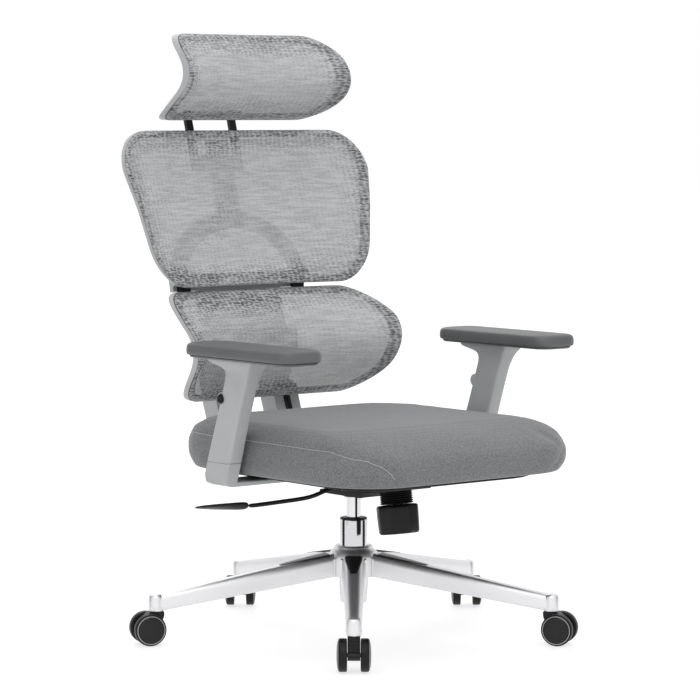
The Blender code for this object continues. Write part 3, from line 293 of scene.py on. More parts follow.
def pad_skin():
    # Polyurethane foam with its own moulded skin: soft satin, a leather grain of about 2 mm pebbles.
    base = colours().pad
    material, tree, shader, place = new_material("Polyurethane foam, self-skinned", base, 0.46,
                                                 Coat_Weight=0.08, Coat_Roughness=0.45)
    drift = noise(tree, place, 0.050, 3)
    tree.links.new(mixed(tree, drift, shaded(base, 0.90), shaded(base, 1.08)), shader.inputs["Base Color"])
    pebbles = add(tree, "ShaderNodeTexVoronoi", {"feature": "SMOOTH_F1", "Scale": 1 / 0.0020},
                  {"Vector": place}).outputs["Distance"]
    tree.links.new(ranged(tree, pebbles, 0.42, 0.54), shader.inputs["Roughness"])
    bumped(tree, shader, pebbles, 0.00018, 0.5)
    return material


WAVES_PER_UNIT = 3.18


def seat_cloth():
    # Polyester upholstery cloth, plain woven from a light and a dark yarn: matt, with a little sheen.
    base = colours().cloth
    material, tree, shader, place = new_material("Polyester cloth, plain woven", base, 0.86,
                                                 Sheen_Weight=0.22, Sheen_Roughness=0.45)
    pitch = sizes().cloth_pitch
    threads = []
    for direction in ("X", "Y", "Z"):
        # One wave is two threads, over and under; the texture has WAVES_PER_UNIT waves at scale 1.
        threads.append(add(tree, "ShaderNodeTexWave",
                           {"wave_type": "BANDS", "bands_direction": direction,
                            "Scale": 1 / (2 * pitch) / WAVES_PER_UNIT, "Distortion": 1.6, "Detail": 2.0,
                            "Detail Scale": 3.0}, {"Vector": place}).outputs["Fac"])
    weave = maths(tree, "MAXIMUM", maths(tree, "MULTIPLY", threads[0], threads[1]), threads[2])
    flecks = noise(tree, place, 0.0030, 4, 0.7)
    mottle = noise(tree, place, 0.120, 3)
    yarn = mixed(tree, ranged(tree, flecks, 0, 1, 0.36, 0.64), colours().cloth_dark, shaded(base, 1.16))
    wash = mixed(tree, mottle, (0.88,) * 3, (1.10,) * 3)
    tree.links.new(multiplied(tree, yarn, wash), shader.inputs["Base Color"])
    tree.links.new(ranged(tree, weave, 0.78, 0.94), shader.inputs["Roughness"])
    bumped(tree, shader, weave, 0.0004, 0.45)
    return material


def mesh_cells(tree, place, width, height, sway):
    """Elongated cells over a panel, taken from its breadth and height: 0 in a gap, more on the yarn."""
    flat = add(tree, "ShaderNodeSeparateXYZ", {}, {0: place})
    shifted = maths(tree, "MULTIPLY_ADD", sway, 0.012, flat.outputs[2])
    across = maths(tree, "MULTIPLY", flat.outputs[0], 1 / width)
    up = maths(tree, "MULTIPLY", shifted, 1 / height)
    vector = add(tree, "ShaderNodeCombineXYZ", {}, {0: across, 1: up}).outputs[0]
    return add(tree, "ShaderNodeTexVoronoi",
               {"voronoi_dimensions": "2D", "feature": "F1", "Scale": 1.0, "Randomness": 0.55},
               {"Vector": vector}).outputs["Distance"]


def woven_mesh(name="Polyester mesh, warp knitted, with painted rim shade", see_through=True):
    # Polyester yarn, warp knitted into long open cells: pale yarn, dark gaps, and broad bands where the
    # front and back of the knit fall in and out of step. Along the rim the gaps are opened wider as painted
    # shade, darkest just inside the rim's edge; the sheet carries this shade on its points. Cells are drawn
    # a little coarser than they are.
    yarn, gap = colours().thread, colours().thread_gap
    material, tree, shader, place = new_material(name, yarn, 0.62, Sheen_Weight=0.12, Sheen_Roughness=0.4)
    cell = sizes().mesh_cell
    slow = noise(tree, place, 0.110, 2, 0.5, 0.8)
    streaks = noise(tree, drawn_out(tree, place, 0.10), 0.0042, 3, 0.65, 0.3)
    cells = mesh_cells(tree, place, cell * 2.3, cell * 0.72, slow)
    # Painted shade: the sheet's share of shade along its rim, with a random unevenness added, opens the gaps.
    near = add(tree, "ShaderNodeAttribute", {"attribute_name": "rim_shade"}).outputs["Fac"]
    uneven = maths(tree, "MULTIPLY_ADD", slow, 0.9, -0.45)
    rim_shade_and_drift = maths(tree, "ADD", near, uneven, use_clamp=True)
    cells_and_rim_shade = maths(tree, "SUBTRACT", ranged(tree, rim_shade_and_drift, 0.10, 0.46), cells)
    gaps_and_rim_shade = ranged(tree, cells_and_rim_shade, 0, 1, -0.10, 0.12)
    line = ranged(tree, streaks, 0, 1, 0.36, 0.62)
    streaked_gaps_and_rim_shade = maths(tree, "MULTIPLY", gaps_and_rim_shade, ranged(tree, line, 0.45, 1.0))
    woven = mixed(tree, streaked_gaps_and_rim_shade, yarn, gap)
    wash = mixed(tree, line, (1.06,) * 3, (0.76,) * 3)
    tree.links.new(multiplied(tree, woven, wash), shader.inputs["Base Color"])
    if see_through:
        tree.links.new(ranged(tree, streaked_gaps_and_rim_shade, 0.94, 0.80), shader.inputs["Alpha"])
    bumped(tree, shader, ranged(tree, streaked_gaps_and_rim_shade, 1, 0), 0.0007, 0.5)
    return material


def wrapped_mesh():
    # The same knit, pulled over the panel's solid rim, so that nothing shows through its gaps.
    return woven_mesh("Polyester mesh, wrapped over the rim", False)


def seam_thread_and_shadow():
    # Nylon thread and shadow where the mesh is tucked into the rim's groove.
    return moulded("Nylon thread with painted groove shadow, dark grey", linear("#2E2E31"), 0.0016, 0.7, 0.0004)


def seat_thread():
    # Polyester thread, twisted: paler than the cloth it sews.
    return moulded("Polyester thread, twisted pale grey", linear("#94969A"), 0.0012, 0.6, 0.0003)


def studio_floor():
    # Painted board, rolled: pale and matt.
    material, tree, shader, place = new_material("Board, rolled with pale paint", colours().floor, 0.62)
    bumped(tree, shader, noise(tree, place, 0.004, 2), 0.0002, 0.1)
    shader.inputs["Emission Color"].default_value = (1, 1, 1, 1)
    shader.inputs["Emission Strength"].default_value = 0.68
    return material


FINISHES = {
    "aluminium": (polished_aluminium, "polished_aluminium"), "chrome": (chromed_steel, "chrome"),
    "grey": (grey_plastic, "grey_plastic"), "black": (black_plastic, "black_plastic"),
    "cap": (cap_plastic, "wheel_plastic"), "ring": (ring_plastic, "wheel_plastic"),
    "tread": (tread_plastic, "wheel_plastic"), "rubber": (rubber, "rubber"),
    "painted": (painted_steel, "black_steel"), "plated": (plated_steel, "steel"),
    "pad": (pad_skin, "pad_foam"), "cloth": (seat_cloth, "grey_fabric"),
    "mesh": (woven_mesh, "grey_mesh"), "wrap": (wrapped_mesh, "grey_plastic"),
    "seam": (seam_thread_and_shadow, "grey_mesh"), "stitch": (seat_thread, "grey_fabric"),
}
made_materials = {}


def finish(kind):
    if kind not in made_materials:
        made_materials[kind] = FINISHES[kind][0]()
    return made_materials[kind]


# Shapes. A shape is a pair: a list of points and a list of faces.

def loft(rings, closed=False, caps=True):
    """Like rings of points joined in order, with a cap on each end unless the loft closes on itself."""
    count = len(rings[0])
    points = [Vector(p) for ring in rings for p in ring]
    faces = []
    for i in range(len(rings) if closed else len(rings) - 1):
        a, b = i * count, (i + 1) % len(rings) * count
        for j in range(count):
            k = (j + 1) % count
            faces.append((a + j, a + k, b + k, b + j))
    if caps and not closed:
        last = (len(rings) - 1) * count
        faces += [tuple(reversed(range(count))), tuple(range(last, last + count))]
    return points, faces


def turned(profile, sides=48, closed=False):
    """A profile of (radius, height) turned about Z; a point of no radius becomes a pole."""
    points, rows = [], []
    for radius, height in profile:
        row = []
        for i in range(1 if radius < 1e-9 else sides):
            angle = 2 * pi * i / sides
            row.append(len(points))
            points.append(Vector((radius * cos(angle), radius * sin(angle), height)))
        rows.append(row)
    faces = []
    for i in range(len(rows) if closed else len(rows) - 1):
        low, high = rows[i], rows[(i + 1) % len(rows)]
        for j in range(sides):
            k = (j + 1) % sides
            quad = [low[j % len(low)], low[k % len(low)], high[k % len(high)], high[j % len(high)]]
            faces.append(tuple(dict.fromkeys(quad)))
    if not closed:
        faces += [tuple(row) for row in (rows[0], rows[-1]) if len(row) > 1]
    return points, faces


def moved(shape, matrix):
    return [matrix @ Vector(p) for p in shape[0]], shape[1]


def joined(*shapes):
    points, faces = [], []
    for more_points, more_faces in shapes:
        base = len(points)
        points += more_points
        faces += [tuple(i + base for i in face) for face in more_faces]
    return points, faces


def rounded_corner(before, at, after, radius, steps):
    """Points along a curve that rounds the corner at, which lies between two others."""
    before, at, after = Vector(before), Vector(at), Vector(after)
    first = at + (before - at).normalized() * min(radius, (before - at).length * 0.45)
    last = at + (after - at).normalized() * min(radius, (after - at).length * 0.45)
    return [first * (1 - t) ** 2 + at * 2 * t * (1 - t) + last * t * t
            for t in (step / steps for step in range(steps + 1))]


def eased(corners, radius, steps=4):
    """A flat outline with each of its corners rounded."""
    count = len(corners)
    return [point for i in range(count)
            for point in rounded_corner(corners[i - 1], corners[i], corners[(i + 1) % count], radius, steps)]


def rounded_profile(profile, radius, steps=3):
    """An open profile with its inner corners rounded."""
    inner = [point for three in zip(profile, profile[1:], profile[2:])
             for point in rounded_corner(*three, radius, steps)]
    return [Vector(profile[0]), *inner, Vector(profile[-1])]


def finer(rows, steps):
    """Rows of numbers made finer along a smooth curve through them."""
    out = []
    for i in range(len(rows) - 1):
        near = [rows[min(max(i + k, 0), len(rows) - 1)] for k in (-1, 0, 1, 2)]
        for step in range(steps):
            t = step / steps
            out.append([0.5 * (2 * b + (c - a) * t + (2 * a - 5 * b + 4 * c - d) * t * t
                               + (3 * b - a - 3 * c + d) * t ** 3) for a, b, c, d in zip(*near)])
    return out + [list(rows[-1])]


def tube(route, radius, sides=8, closed=False):
    """A round cord along a route of points."""
    rings = []
    count = len(route)
    for i, point in enumerate(route):
        ahead = route[(i + 1) % count if closed else min(i + 1, count - 1)]
        behind = route[(i - 1) % count if closed else max(i - 1, 0)]
        along = (Vector(ahead) - Vector(behind)).normalized()
        across = along.cross(Vector((0.13, 0.97, 0.21))).normalized()
        up = along.cross(across)
        rings.append([Vector(point) + radius * (across * cos(a) + up * sin(a))
                      for a in (2 * pi * j / sides for j in range(sides))])
    return loft(rings, closed)


def round_corners(width, depth, corner, steps=8, along=1):
    """Points around a rectangle with round corners; its straight sides are cut along times."""
    points = []
    signs = ((1, 1, 0), (-1, 1, 90), (-1, -1, 180), (1, -1, 270))
    for k, (sx, sy, first) in enumerate(signs):
        for i in range(steps + 1):
            angle = radians(first + 90 * i / steps)
            points.append(Vector((sx * (width / 2 - corner) + corner * cos(angle),
                                  sy * (depth / 2 - corner) + corner * sin(angle))))
        nx, ny, angle = signs[(k + 1) % 4]
        target = Vector((nx * (width / 2 - corner) + corner * cos(radians(angle)),
                         ny * (depth / 2 - corner) + corner * sin(radians(angle))))
        last = points[-1]
        points += [last.lerp(target, i / along) for i in range(1, along)]
    return points


def piece(name, shape, kind, body, replaces=(), bevel=0.0, levels=0, sharp=40, kinds=(), choose=None):
    """A named piece of one finish, which rides on a body and stands for some of the frame's nodes."""
    points, faces = shape
    mesh = bpy.data.meshes.new(name)
    mesh.from_pydata([tuple(Vector(p) + AXIS) for p in points], [], faces)
    work = bmesh.new()
    work.from_mesh(mesh)
    bmesh.ops.recalc_face_normals(work, faces=work.faces)
    work.to_mesh(mesh)
    work.free()
    for each in (kind, *kinds):
        mesh.materials.append(finish(each))
    if choose:
        for face in mesh.polygons:
            face.material_index = choose(face.index)
    thing = bpy.data.objects.new(name, mesh)
    return placed(thing, kind, body, replaces, bevel, levels, sharp)


def placed(thing, kind, body, replaces, bevel=0.0, levels=0, sharp=40):
    bpy.context.collection.objects.link(thing)
    thing.data.shade_smooth()
    thing.data.set_sharp_from_angle(angle=radians(sharp))
    if bevel:
        rounding = thing.modifiers.new("Rounded edges", "BEVEL")
        rounding.width, rounding.segments = bevel, 3
        rounding.limit_method, rounding.angle_limit = "ANGLE", radians(32)
        rounding.harden_normals = True
    if levels:
        smooth = thing.modifiers.new("Smooth", "SUBSURF")
        smooth.levels = smooth.render_levels = levels
    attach(thing, body)
    if replaces:
        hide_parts(*replaces)
    return thing


def body_with(node):
    for name, nodes in frame["record"]["behaviour"]["bodies"].items():
        if node in nodes:
            return name
    raise KeyError(node)


def refined(node, kind, bevel=None, levels=0, sharp=35):
    """A frame node's own shape with its edges rounded."""
    work = bmesh.new()
    work.from_mesh(frame["nodes"][node].data)
    bmesh.ops.remove_doubles(work, verts=work.verts, dist=2e-5)
    bmesh.ops.dissolve_limit(work, angle_limit=radians(0.8), verts=work.verts, edges=work.edges)
    bmesh.ops.recalc_face_normals(work, faces=work.faces)
    mesh = bpy.data.meshes.new(node + "_fine")
    points = [v.co.copy() for v in work.verts]
    mesh.from_pydata([tuple(p) for p in points], [], [[v.index for v in f.verts] for f in work.faces])
    work.free()
    mesh.materials.append(finish(kind))
    thing = bpy.data.objects.new(node + "_fine", mesh)
    return placed(thing, kind, body_with(node), [node], sizes().edge if bevel is None else bevel, levels,
                  sharp)


def kept(node, kind):
    """A frame node that stays as it is, with a finish of its own."""
    data = frame["nodes"][node].data
    data.materials.clear()
    data.materials.append(finish(kind))


# Five-star base and gas lift.

LEG_COUNT, FIRST_LEG = 5, radians(231)
LEG_ROOT, LEG_TIP = 0.034, 0.385        # from the axis
LEG_WIDTHS, LEG_HEIGHTS = (0.046, 0.026), (0.044, 0.030)    # at the root and at the tip
LEG_TIP_BOTTOM, LEG_RISE = 0.0615, 0.051
TIP_RADIUS = 0.014
HUB_BORE, HUB_BOTTOM, HUB_TOP = 0.0271, 0.1105, 0.1685
TUBE_RADIUS, TUBE_WALL = 0.0268, 0.0016
PISTON_RADIUS = 0.0142


def leg_direction(k):
    return FIRST_LEG + 2 * pi * k / LEG_COUNT


def leg_line(reach):
    """A leg's half width, underside and height at one distance from the axis."""
    share = (reach - LEG_ROOT) / (LEG_TIP - LEG_ROOT)
    half = (LEG_WIDTHS[0] + share * (LEG_WIDTHS[1] - LEG_WIDTHS[0])) / 2
    low = LEG_TIP_BOTTOM + LEG_RISE * (1 - share)
    return half, low, LEG_HEIGHTS[0] + share * (LEG_HEIGHTS[1] - LEG_HEIGHTS[0])


def leg_ring(reach, wall):
    """A section of a leg, which is a channel that is open below."""
    half, low, height = leg_line(reach)
    high = low + height
    shoulder = high - 0.30 * height
    outer = eased([(-half, low), (-half, shoulder), (-0.66 * half, high), (0.66 * half, high),
                   (half, shoulder), (half, low)], 0.005, 3)
    inner = eased([(half - wall, low + 0.0005), (half - wall, shoulder - wall / 2), (0.5 * half, high - wall),
                   (-0.5 * half, high - wall), (-half + wall, shoulder - wall / 2),
                   (-half + wall, low + 0.0005)], 0.003, 2)
    return [(reach, y, z) for y, z in [*outer, *inner]]


def inset_plate(k):
    """The black tapered plate let into a leg's top beside the hub."""
    rings = []
    for reach, width, up in ((0.0505, 0.90, -0.006), (0.0520, 1.12, 0.0010), (0.075, 1.10, 0.0012),
                             (0.112, 0.84, 0.0012), (0.145, 0.56, 0.0010), (0.148, 0.46, -0.003)):
        half, low, height = leg_line(reach)
        top = low + height + up
        wide = half * 0.66 * width
        rings.append([(reach, -wide, top - 0.004), (reach, -wide, top - 0.0006), (reach, -wide * 0.8, top),
                      (reach, wide * 0.8, top), (reach, wide, top - 0.0006), (reach, wide, top - 0.004)])
    return moved(loft(rings), Matrix.Rotation(leg_direction(k), 4, "Z"))


def hub_shape():
    bottom, top = HUB_BOTTOM, HUB_TOP
    profile = rounded_profile(
        [(HUB_BORE, bottom), (0.046, bottom), (0.050, bottom + 0.004), (0.0485, top - 0.020),
         (0.044, top - 0.012), (0.0375, top - 0.006), (0.0350, top), (HUB_BORE, top)], 0.003)
    return turned([tuple(p) for p in profile], 72, closed=True)


def build_base():
    turns = [Matrix.Rotation(leg_direction(k), 4, "Z") for k in range(LEG_COUNT)]
    reaches = (LEG_ROOT, 0.060, 0.100, 0.160, 0.230, 0.300, 0.350, 0.372, 0.380)
    leg = loft([leg_ring(reach, sizes().leg_wall) for reach in reaches])
    top = LEG_TIP_BOTTOM + LEG_HEIGHTS[1]
    tip = moved(turned([(0, LEG_TIP_BOTTOM), (TIP_RADIUS - 0.001, LEG_TIP_BOTTOM),
                        (TIP_RADIUS, LEG_TIP_BOTTOM + 0.001), (TIP_RADIUS, top - 0.004),
                        (TIP_RADIUS - 0.0012, top - 0.001), (TIP_RADIUS - 0.004, top + 0.0012),
                        (TIP_RADIUS * 0.4, top + 0.0022), (0, top + 0.0024)], 32),
                Matrix.Translation((LEG_TIP, 0, 0)))
    collar = moved(turned([(0.0150, LEG_TIP_BOTTOM + 0.0075), (0.0150, LEG_TIP_BOTTOM + 0.0090)], 32),
                   Matrix.Translation((LEG_TIP, 0, 0)))
    casting = joined(hub_shape(), *[moved(shape, t) for t in turns for shape in (leg, tip, collar)])
    piece("base_casting", casting, "aluminium", "base", ["star_base"])
    # Webs in the angles between the legs, which run down the hub.
    webs = []
    for k in range(LEG_COUNT):
        for side in (-1, 1):
            angle = leg_direction(k) + side * radians(27)
            web = loft([[(0.036, -0.003, near), (0.036, 0.003, near), (0.0515, 0.0022, far),
                         (0.0515, -0.0022, far)]
                        for near, far in ((0.111, 0.113), (0.130, 0.130), (0.156, 0.146))])
            webs.append(moved(web, Matrix.Rotation(angle, 4, "Z")))
    piece("base_hub_webs", joined(*webs), "aluminium", "base", bevel=0.0008)
    for k in range(LEG_COUNT):
        piece(f"base_inset_{k + 1}", inset_plate(k), "black", "base", bevel=0.0008)
    tube_top, tube_bottom = top_of("lift_tube"), bottom_of("lift_tube")
    bore = TUBE_RADIUS - TUBE_WALL
    outer = turned([(bore, tube_bottom), (TUBE_RADIUS - 0.002, tube_bottom),
                    (TUBE_RADIUS, tube_bottom + 0.030), (TUBE_RADIUS, tube_top - 0.0015),
                    (TUBE_RADIUS - 0.0006, tube_top), (bore, tube_top)], 72, closed=True)
    piece("lift_tube_fine", outer, "chrome", "base", ["lift_tube"])
    lip = top_of("tube_bush")
    bush = turned([(PISTON_RADIUS + 0.0006, tube_top - 0.058), (0.0248, tube_top - 0.058), (0.0248, tube_top),
                   (0.0258, tube_top + 0.0004), (0.0256, lip - 0.0014), (0.0240, lip - 0.0002),
                   (PISTON_RADIUS + 0.0022, lip), (PISTON_RADIUS + 0.0006, lip - 0.0008)], 72, closed=True)
    piece("tube_bush_fine", bush, "black", "base", ["tube_bush"])
    low, high = bottom_of("lift_piston"), top_of("lift_piston")
    rod = turned([(0, low), (PISTON_RADIUS - 0.001, low), (PISTON_RADIUS, low + 0.001),
                  (PISTON_RADIUS, high - 0.001), (PISTON_RADIUS - 0.001, high), (0, high)], 64)
    piece("lift_piston_fine", rod, "chrome", "piston", ["lift_piston"])


# Casters.

WHEEL_RADIUS, WHEEL_WIDTH = 0.02963, 0.0165
CASTER_TRAIL = 0.016
CASTER_TURNS = (0, 0, 36, -36, 0)       # in degrees from the leg's direction
FORK_HALF = 0.0225 / 2 + 0.0006         # with the gap beside the wheel


def wheel_shapes():
    """A wheel's tread, its thin ring and its domed disc, turned about Z with the disc upwards."""
    r, w = WHEEL_RADIUS, WHEEL_WIDTH
    tread = turned([(0.0043, 0.0003), (r - 0.006, 0.0), (r - 0.0016, 0.0003), (r - 0.0004, 0.0012),
                    (r, 0.0030), (r, w - 0.0042), (r - 0.0006, w - 0.0022), (r - 0.0018, w - 0.0010),
                    (r - 0.0030, w - 0.0008), (r - 0.0034, w - 0.0020), (0.0043, w - 0.0024)],
                   64, closed=True)
    ring = turned([(r - 0.0046, w - 0.0020), (r - 0.0033, w - 0.0020), (r - 0.0034, w - 0.0004),
                   (r - 0.0040, w + 0.0001), (r - 0.0046, w - 0.0004)], 64, closed=True)
    dome = [(r - 0.0047, w - 0.0022), (r - 0.0048, w - 0.0006)]
    dome += [((r - 0.0048) * cos(a), w - 0.0004 + 0.0028 * sin(a))
             for a in (radians(15 * i) for i in range(1, 6))]
    cap = turned([(0, w - 0.0024), *dome, (0, w + 0.0024)], 64)
    return ("tread", tread), ("ring", ring), ("cap", cap)


def build_casters():
    shapes = wheel_shapes()
    for k in range(LEG_COUNT):
        direction = leg_direction(k)
        heading = direction + radians(CASTER_TURNS[k])
        centre = Vector((LEG_TIP * cos(direction) + CASTER_TRAIL * cos(heading),
                         LEG_TIP * sin(direction) + CASTER_TRAIL * sin(heading), WHEEL_RADIUS))
        for side, name in ((1, "left"), (-1, "right")):
            place = (Matrix.Translation(centre) @ Matrix.Rotation(heading, 4, "Z")
                     @ Matrix.Translation((0, side * FORK_HALF, 0)) @ Matrix.Rotation(-side * pi / 2, 4, "X"))
            for kind, shape in shapes:
                stands_for = [f"wheel_{name}_{k + 1}"] if kind == "tread" else ()
                piece(f"caster_{kind}_{name}_{k + 1}", moved(shape, place), kind, f"wheels_{k + 1}",
                      stands_for)
        refined(f"caster_fork_{k + 1}", "black", 0.0012)
        kept(f"caster_axle_{k + 1}", "plated")


# Tilt mechanism, lever and tension knob.

TENSION_TILT = radians(8)
TENSION_TOP = Vector((0, -0.124, 0.2820))
GAITER_HEIGHT, KNOB_HEIGHT = 0.024, 0.055


def tension_frame():
    return Matrix.Translation(TENSION_TOP) @ Matrix.Rotation(-TENSION_TILT, 4, "X")


def gaiter_shape():
    """A ribbed sleeve, hollow inside."""
    ribs, steps, outer, inside = 6, 8, 0.0315, 0.0247
    count = ribs * steps
    profile = []
    for i in range(count + 1):
        wave = (0.5 - 0.5 * cos(2 * pi * i / steps)) ** 0.7
        profile.append((outer - sizes().gaiter_rib * (1 - wave), -GAITER_HEIGHT + 0.0004
                        + (GAITER_HEIGHT - 0.0008) * i / count))
    return turned([*profile, (inside, -0.0006), (inside, -GAITER_HEIGHT + 0.0006)], 56, closed=True)


def knob_shape():
    """An eight-sided grip with eased corners and a dished underside."""
    low, top = -GAITER_HEIGHT - KNOB_HEIGHT, -GAITER_HEIGHT - 0.0006
    sides, flats = 160, 8
    rings = []
    # Each ring's radius, its height and how far it is eight-sided.
    for radius, height, flat in (
            (0.0, low + 0.0035, 0), (0.020, low + 0.0030, 0), (0.0290, low + 0.0012, 0.3), (0.0325, low, 0.8),
            (0.0362, low + 0.0006, 1), (0.0380, low + 0.0026, 1), (0.0386, low + 0.006, 1),
            (0.0392, low + 0.020, 1), (0.0397, top - 0.014, 1), (0.0398, top - 0.006, 1),
            (0.0394, top - 0.0028, 1), (0.0376, top - 0.0010, 1), (0.0350, top - 0.0004, 0.8),
            (0.0290, top, 0.3), (0.0, top, 0)):
        ring = []
        for i in range(sides):
            angle = 2 * pi * i / sides
            off = ((angle * flats / (2 * pi) + 0.5) % 1 - 0.5) * 2 * pi / flats
            edge = min(cos(pi / flats) / cos(off) * 1.035, 1.0)
            r = max(radius * (1 - flat * (1 - edge)), 0.0002)
            ring.append((r * cos(angle + 0.2), r * sin(angle + 0.2), height))
        rings.append(ring)
    return loft(rings)


def build_mechanism():
    refined("mechanism_housing", "black", 0.0022)
    refined("tilt_carrier", "painted", 0.0008)
    for node in ("tilt_shaft", "tension_spring", "tension_bolt"):
        kept(node, "plated")
    refined("lever_block", "black", 0.0008)
    refined("lever_rod", "black", 0.0, 2, 60)
    refined("lever_paddle", "black", 0.0, 2, 75)
    piece("spring_gaiter_fine", moved(gaiter_shape(), tension_frame()), "rubber", "mechanism",
          ["spring_gaiter"], sharp=80)
    piece("tension_knob_fine", moved(knob_shape(), tension_frame()), "black", "tension_knob",
          ["tension_knob"], sharp=50)
    # Four cap screws hold the housing's lower cover.
    low = bottom_of("mechanism_housing") + 0.0085
    head = turned([(0, 0.0006), (0.0022, 0.0006), (0.0026, -0.0016), (0.0044, -0.0020), (0.0050, -0.0010),
                   (0.0050, 0.003), (0, 0.003)], 24)
    heads = [moved(head, Matrix.Translation((x, y, low))) for x in (-0.040, 0.040) for y in (-0.070, 0.020)]
    piece("housing_screws", joined(*heads), "plated", "mechanism")


# Seat.

SEAT_WIDTH, SEAT_DEPTH, SEAT_CORNER = 0.570, 0.595, 0.120
SEAT_MIDDLE = Vector((0, -0.067))
SEAM_SHARE = 0.80       # of the cushion's height, along its side
SEAM_TURN = 76          # degrees that the seam goes round the front corner
GROOVE_REACH = 0.009    # half width of the hollow at a seam


def cushion_start():
    """The cushion before it is filled: slightly small, crowned, with its front edge rolled down."""
    bottom, height = bottom_of("seat_cushion"), SEAT_TOP - bottom_of("seat_cushion")
    rings = []
    rows = [(0.0, 0.060, 0.0), (0.0, 0.026, 0.0), (0.03, 0.014, 0.0), (0.14, 0.005, 0.1), (0.30, 0.002, 0.2),
            (0.50, 0.002, 0.3), (0.68, 0.004, 0.5), (0.80, 0.008, 0.7), (0.88, 0.015, 0.85),
            (0.935, 0.030, 1.0), (0.965, 0.060, 1.0), (0.985, 0.105, 1.0), (0.985, 0.170, 1.0)]
    for share, inset, roll in finer(rows, 2):
        ring = []
        for p in round_corners(SEAT_WIDTH - 2 * inset, SEAT_DEPTH - 2 * inset,
                               max(SEAT_CORNER - inset / 2, 0.03), 10, 8):
            ahead = max(0.0, -p.y / (SEAT_DEPTH / 2) - 0.35) / 0.65
            ring.append((p.x, p.y + SEAT_MIDDLE.y,
                         bottom + 0.0015 + share * height - 0.034 * roll * ahead * ahead))
        rings.append(ring)
    return loft(rings)


def seam_share(t):
    """How high the side seam runs at a share of its way down round the front corner."""
    return SEAM_SHARE * max(0.0, 1 - t * t) ** 0.5


def seam_route():
    """The side seam for one side, as (x, y, z) before it is laid on the cushion's surface."""
    bottom, height = bottom_of("seat_cushion"), SEAT_TOP - bottom_of("seat_cushion")
    reach = SEAT_WIDTH / 2 - SEAT_CORNER
    front = SEAT_MIDDLE.y - SEAT_DEPTH / 2 + SEAT_CORNER
    back = SEAT_MIDDLE.y + SEAT_DEPTH / 2 - SEAT_CORNER
    route = []

    def corner(middle_y, degrees, share):
        angle = radians(degrees)
        route.append((reach + SEAT_CORNER * cos(angle), middle_y + SEAT_CORNER * sin(angle), share))

    for i in range(17):
        corner(back, 90 - 90 * i / 16, SEAM_SHARE)
    for i in range(1, 30):
        route.append((SEAT_WIDTH / 2, back + (front - back) * i / 30, SEAM_SHARE))
    for i in range(25):
        corner(front, -SEAM_TURN * (i / 24), seam_share(i / 24 * 0.985))
    return [Vector((x, y, bottom + 0.004 + (height - 0.004) * s)) for x, y, s in route]


def applied(thing):
    """Put a thing's modifiers into its mesh."""
    evaluated = thing.evaluated_get(bpy.context.evaluated_depsgraph_get())
    mesh = bpy.data.meshes.new_from_object(evaluated)
    thing.modifiers.clear()
    thing.data = mesh
    return mesh


def evenly_meshed(thing, voxel):
    remesh = thing.modifiers.new("Even faces", "REMESH")
    remesh.mode, remesh.voxel_size = "VOXEL", voxel
    return applied(thing)


def stuffed(thing, voxel, pressure, cap, frames, resting):
    """Fill a closed cover by a cloth simulation; its points below resting stay where they are."""
    even = evenly_meshed(thing, voxel)
    held = thing.vertex_groups.new(name="Held")
    held.add([v.index for v in even.vertices if v.co.z < resting], 1.0, "REPLACE")
    rest = [v.co.copy() for v in even.vertices]
    cloth = thing.modifiers.new("Filling", "CLOTH")
    cloth.settings.quality = 5
    cloth.settings.use_pressure = True
    cloth.settings.uniform_pressure_force = pressure
    cloth.settings.vertex_group_mass = "Held"
    cloth.settings.effector_weights.gravity = 0
    cloth.point_cache.frame_start, cloth.point_cache.frame_end = 1, frames
    for number in range(1, frames + 1):
        bpy.context.scene.frame_set(number)
    filled = applied(thing)
    thing.vertex_groups.clear()
    bpy.context.scene.frame_set(1)
    for vertex, start in zip(filled.vertices, rest):
        move = vertex.co - start
        if move.length > cap:
            vertex.co = start + move.normalized() * cap


def smoothed(work, times):
    for _ in range(times):
        bmesh.ops.smooth_vert(work, verts=work.verts, factor=0.5, use_axis_x=True, use_axis_y=True,
                              use_axis_z=True)


def laid_on(surface, side):
    """The seam of one side as points on the cushion, each with the surface's direction there."""
    route = []
    for point in seam_route():
        found, normal, _, _ = surface.find_nearest(Vector((side * point.x, point.y, point.z)) + AXIS)
        route.append((found, normal))
    return route


def build_seat():
    refined("seat_pan", "black", 0.0015)
    points, faces = cushion_start()
    mesh = bpy.data.meshes.new("cushion")
    mesh.from_pydata([tuple(p + AXIS) for p in points], [], faces)
    cushion = bpy.data.objects.new("cushion", mesh)
    bpy.context.collection.objects.link(cushion)
    bottom = bottom_of("seat_cushion")
    stuffed(cushion, voxel=0.0075, pressure=3.0, cap=0.006, frames=16, resting=bottom + 0.004)
    work = bmesh.new()
    work.from_mesh(cushion.data)
    smoothed(work, 3)
    bmesh.ops.subdivide_edges(work, edges=work.edges, cuts=1, use_grid_fill=True, smooth=0.0)
    smoothed(work, 2)
    surface = BVHTree.FromBMesh(work)
    routes = [laid_on(surface, side) for side in (-1, 1)]
    near = [p for route in routes for p, _ in route]
    depth = sizes().seam_depth
    tree = KDTree(len(near))
    for i, point in enumerate(near):
        tree.insert(point, i)
    tree.balance()
    for vertex in work.verts:
        _, _, distance = tree.find(vertex.co)
        if distance < 0.03:
            vertex.co -= vertex.normal * depth * exp(-(distance / GROOVE_REACH) ** 2)
        vertex.co.z = min(max(vertex.co.z, bottom + 0.0003), SEAT_TOP + 0.004)
    work.to_mesh(cushion.data)
    work.free()
    cushion.data.materials.clear()
    cushion.data.materials.append(finish("cloth"))
    cushion.data.shade_smooth()
    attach(cushion, "seat")
    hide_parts("seat_cushion")
    for name, route in zip(("right", "left"), routes):
        path = [p - AXIS - n * (depth - 0.0003) for p, n in route]
        piece(f"cushion_piping_{name}", tube(path, sizes().piping, 8), "stitch", "seat")


# Arms.

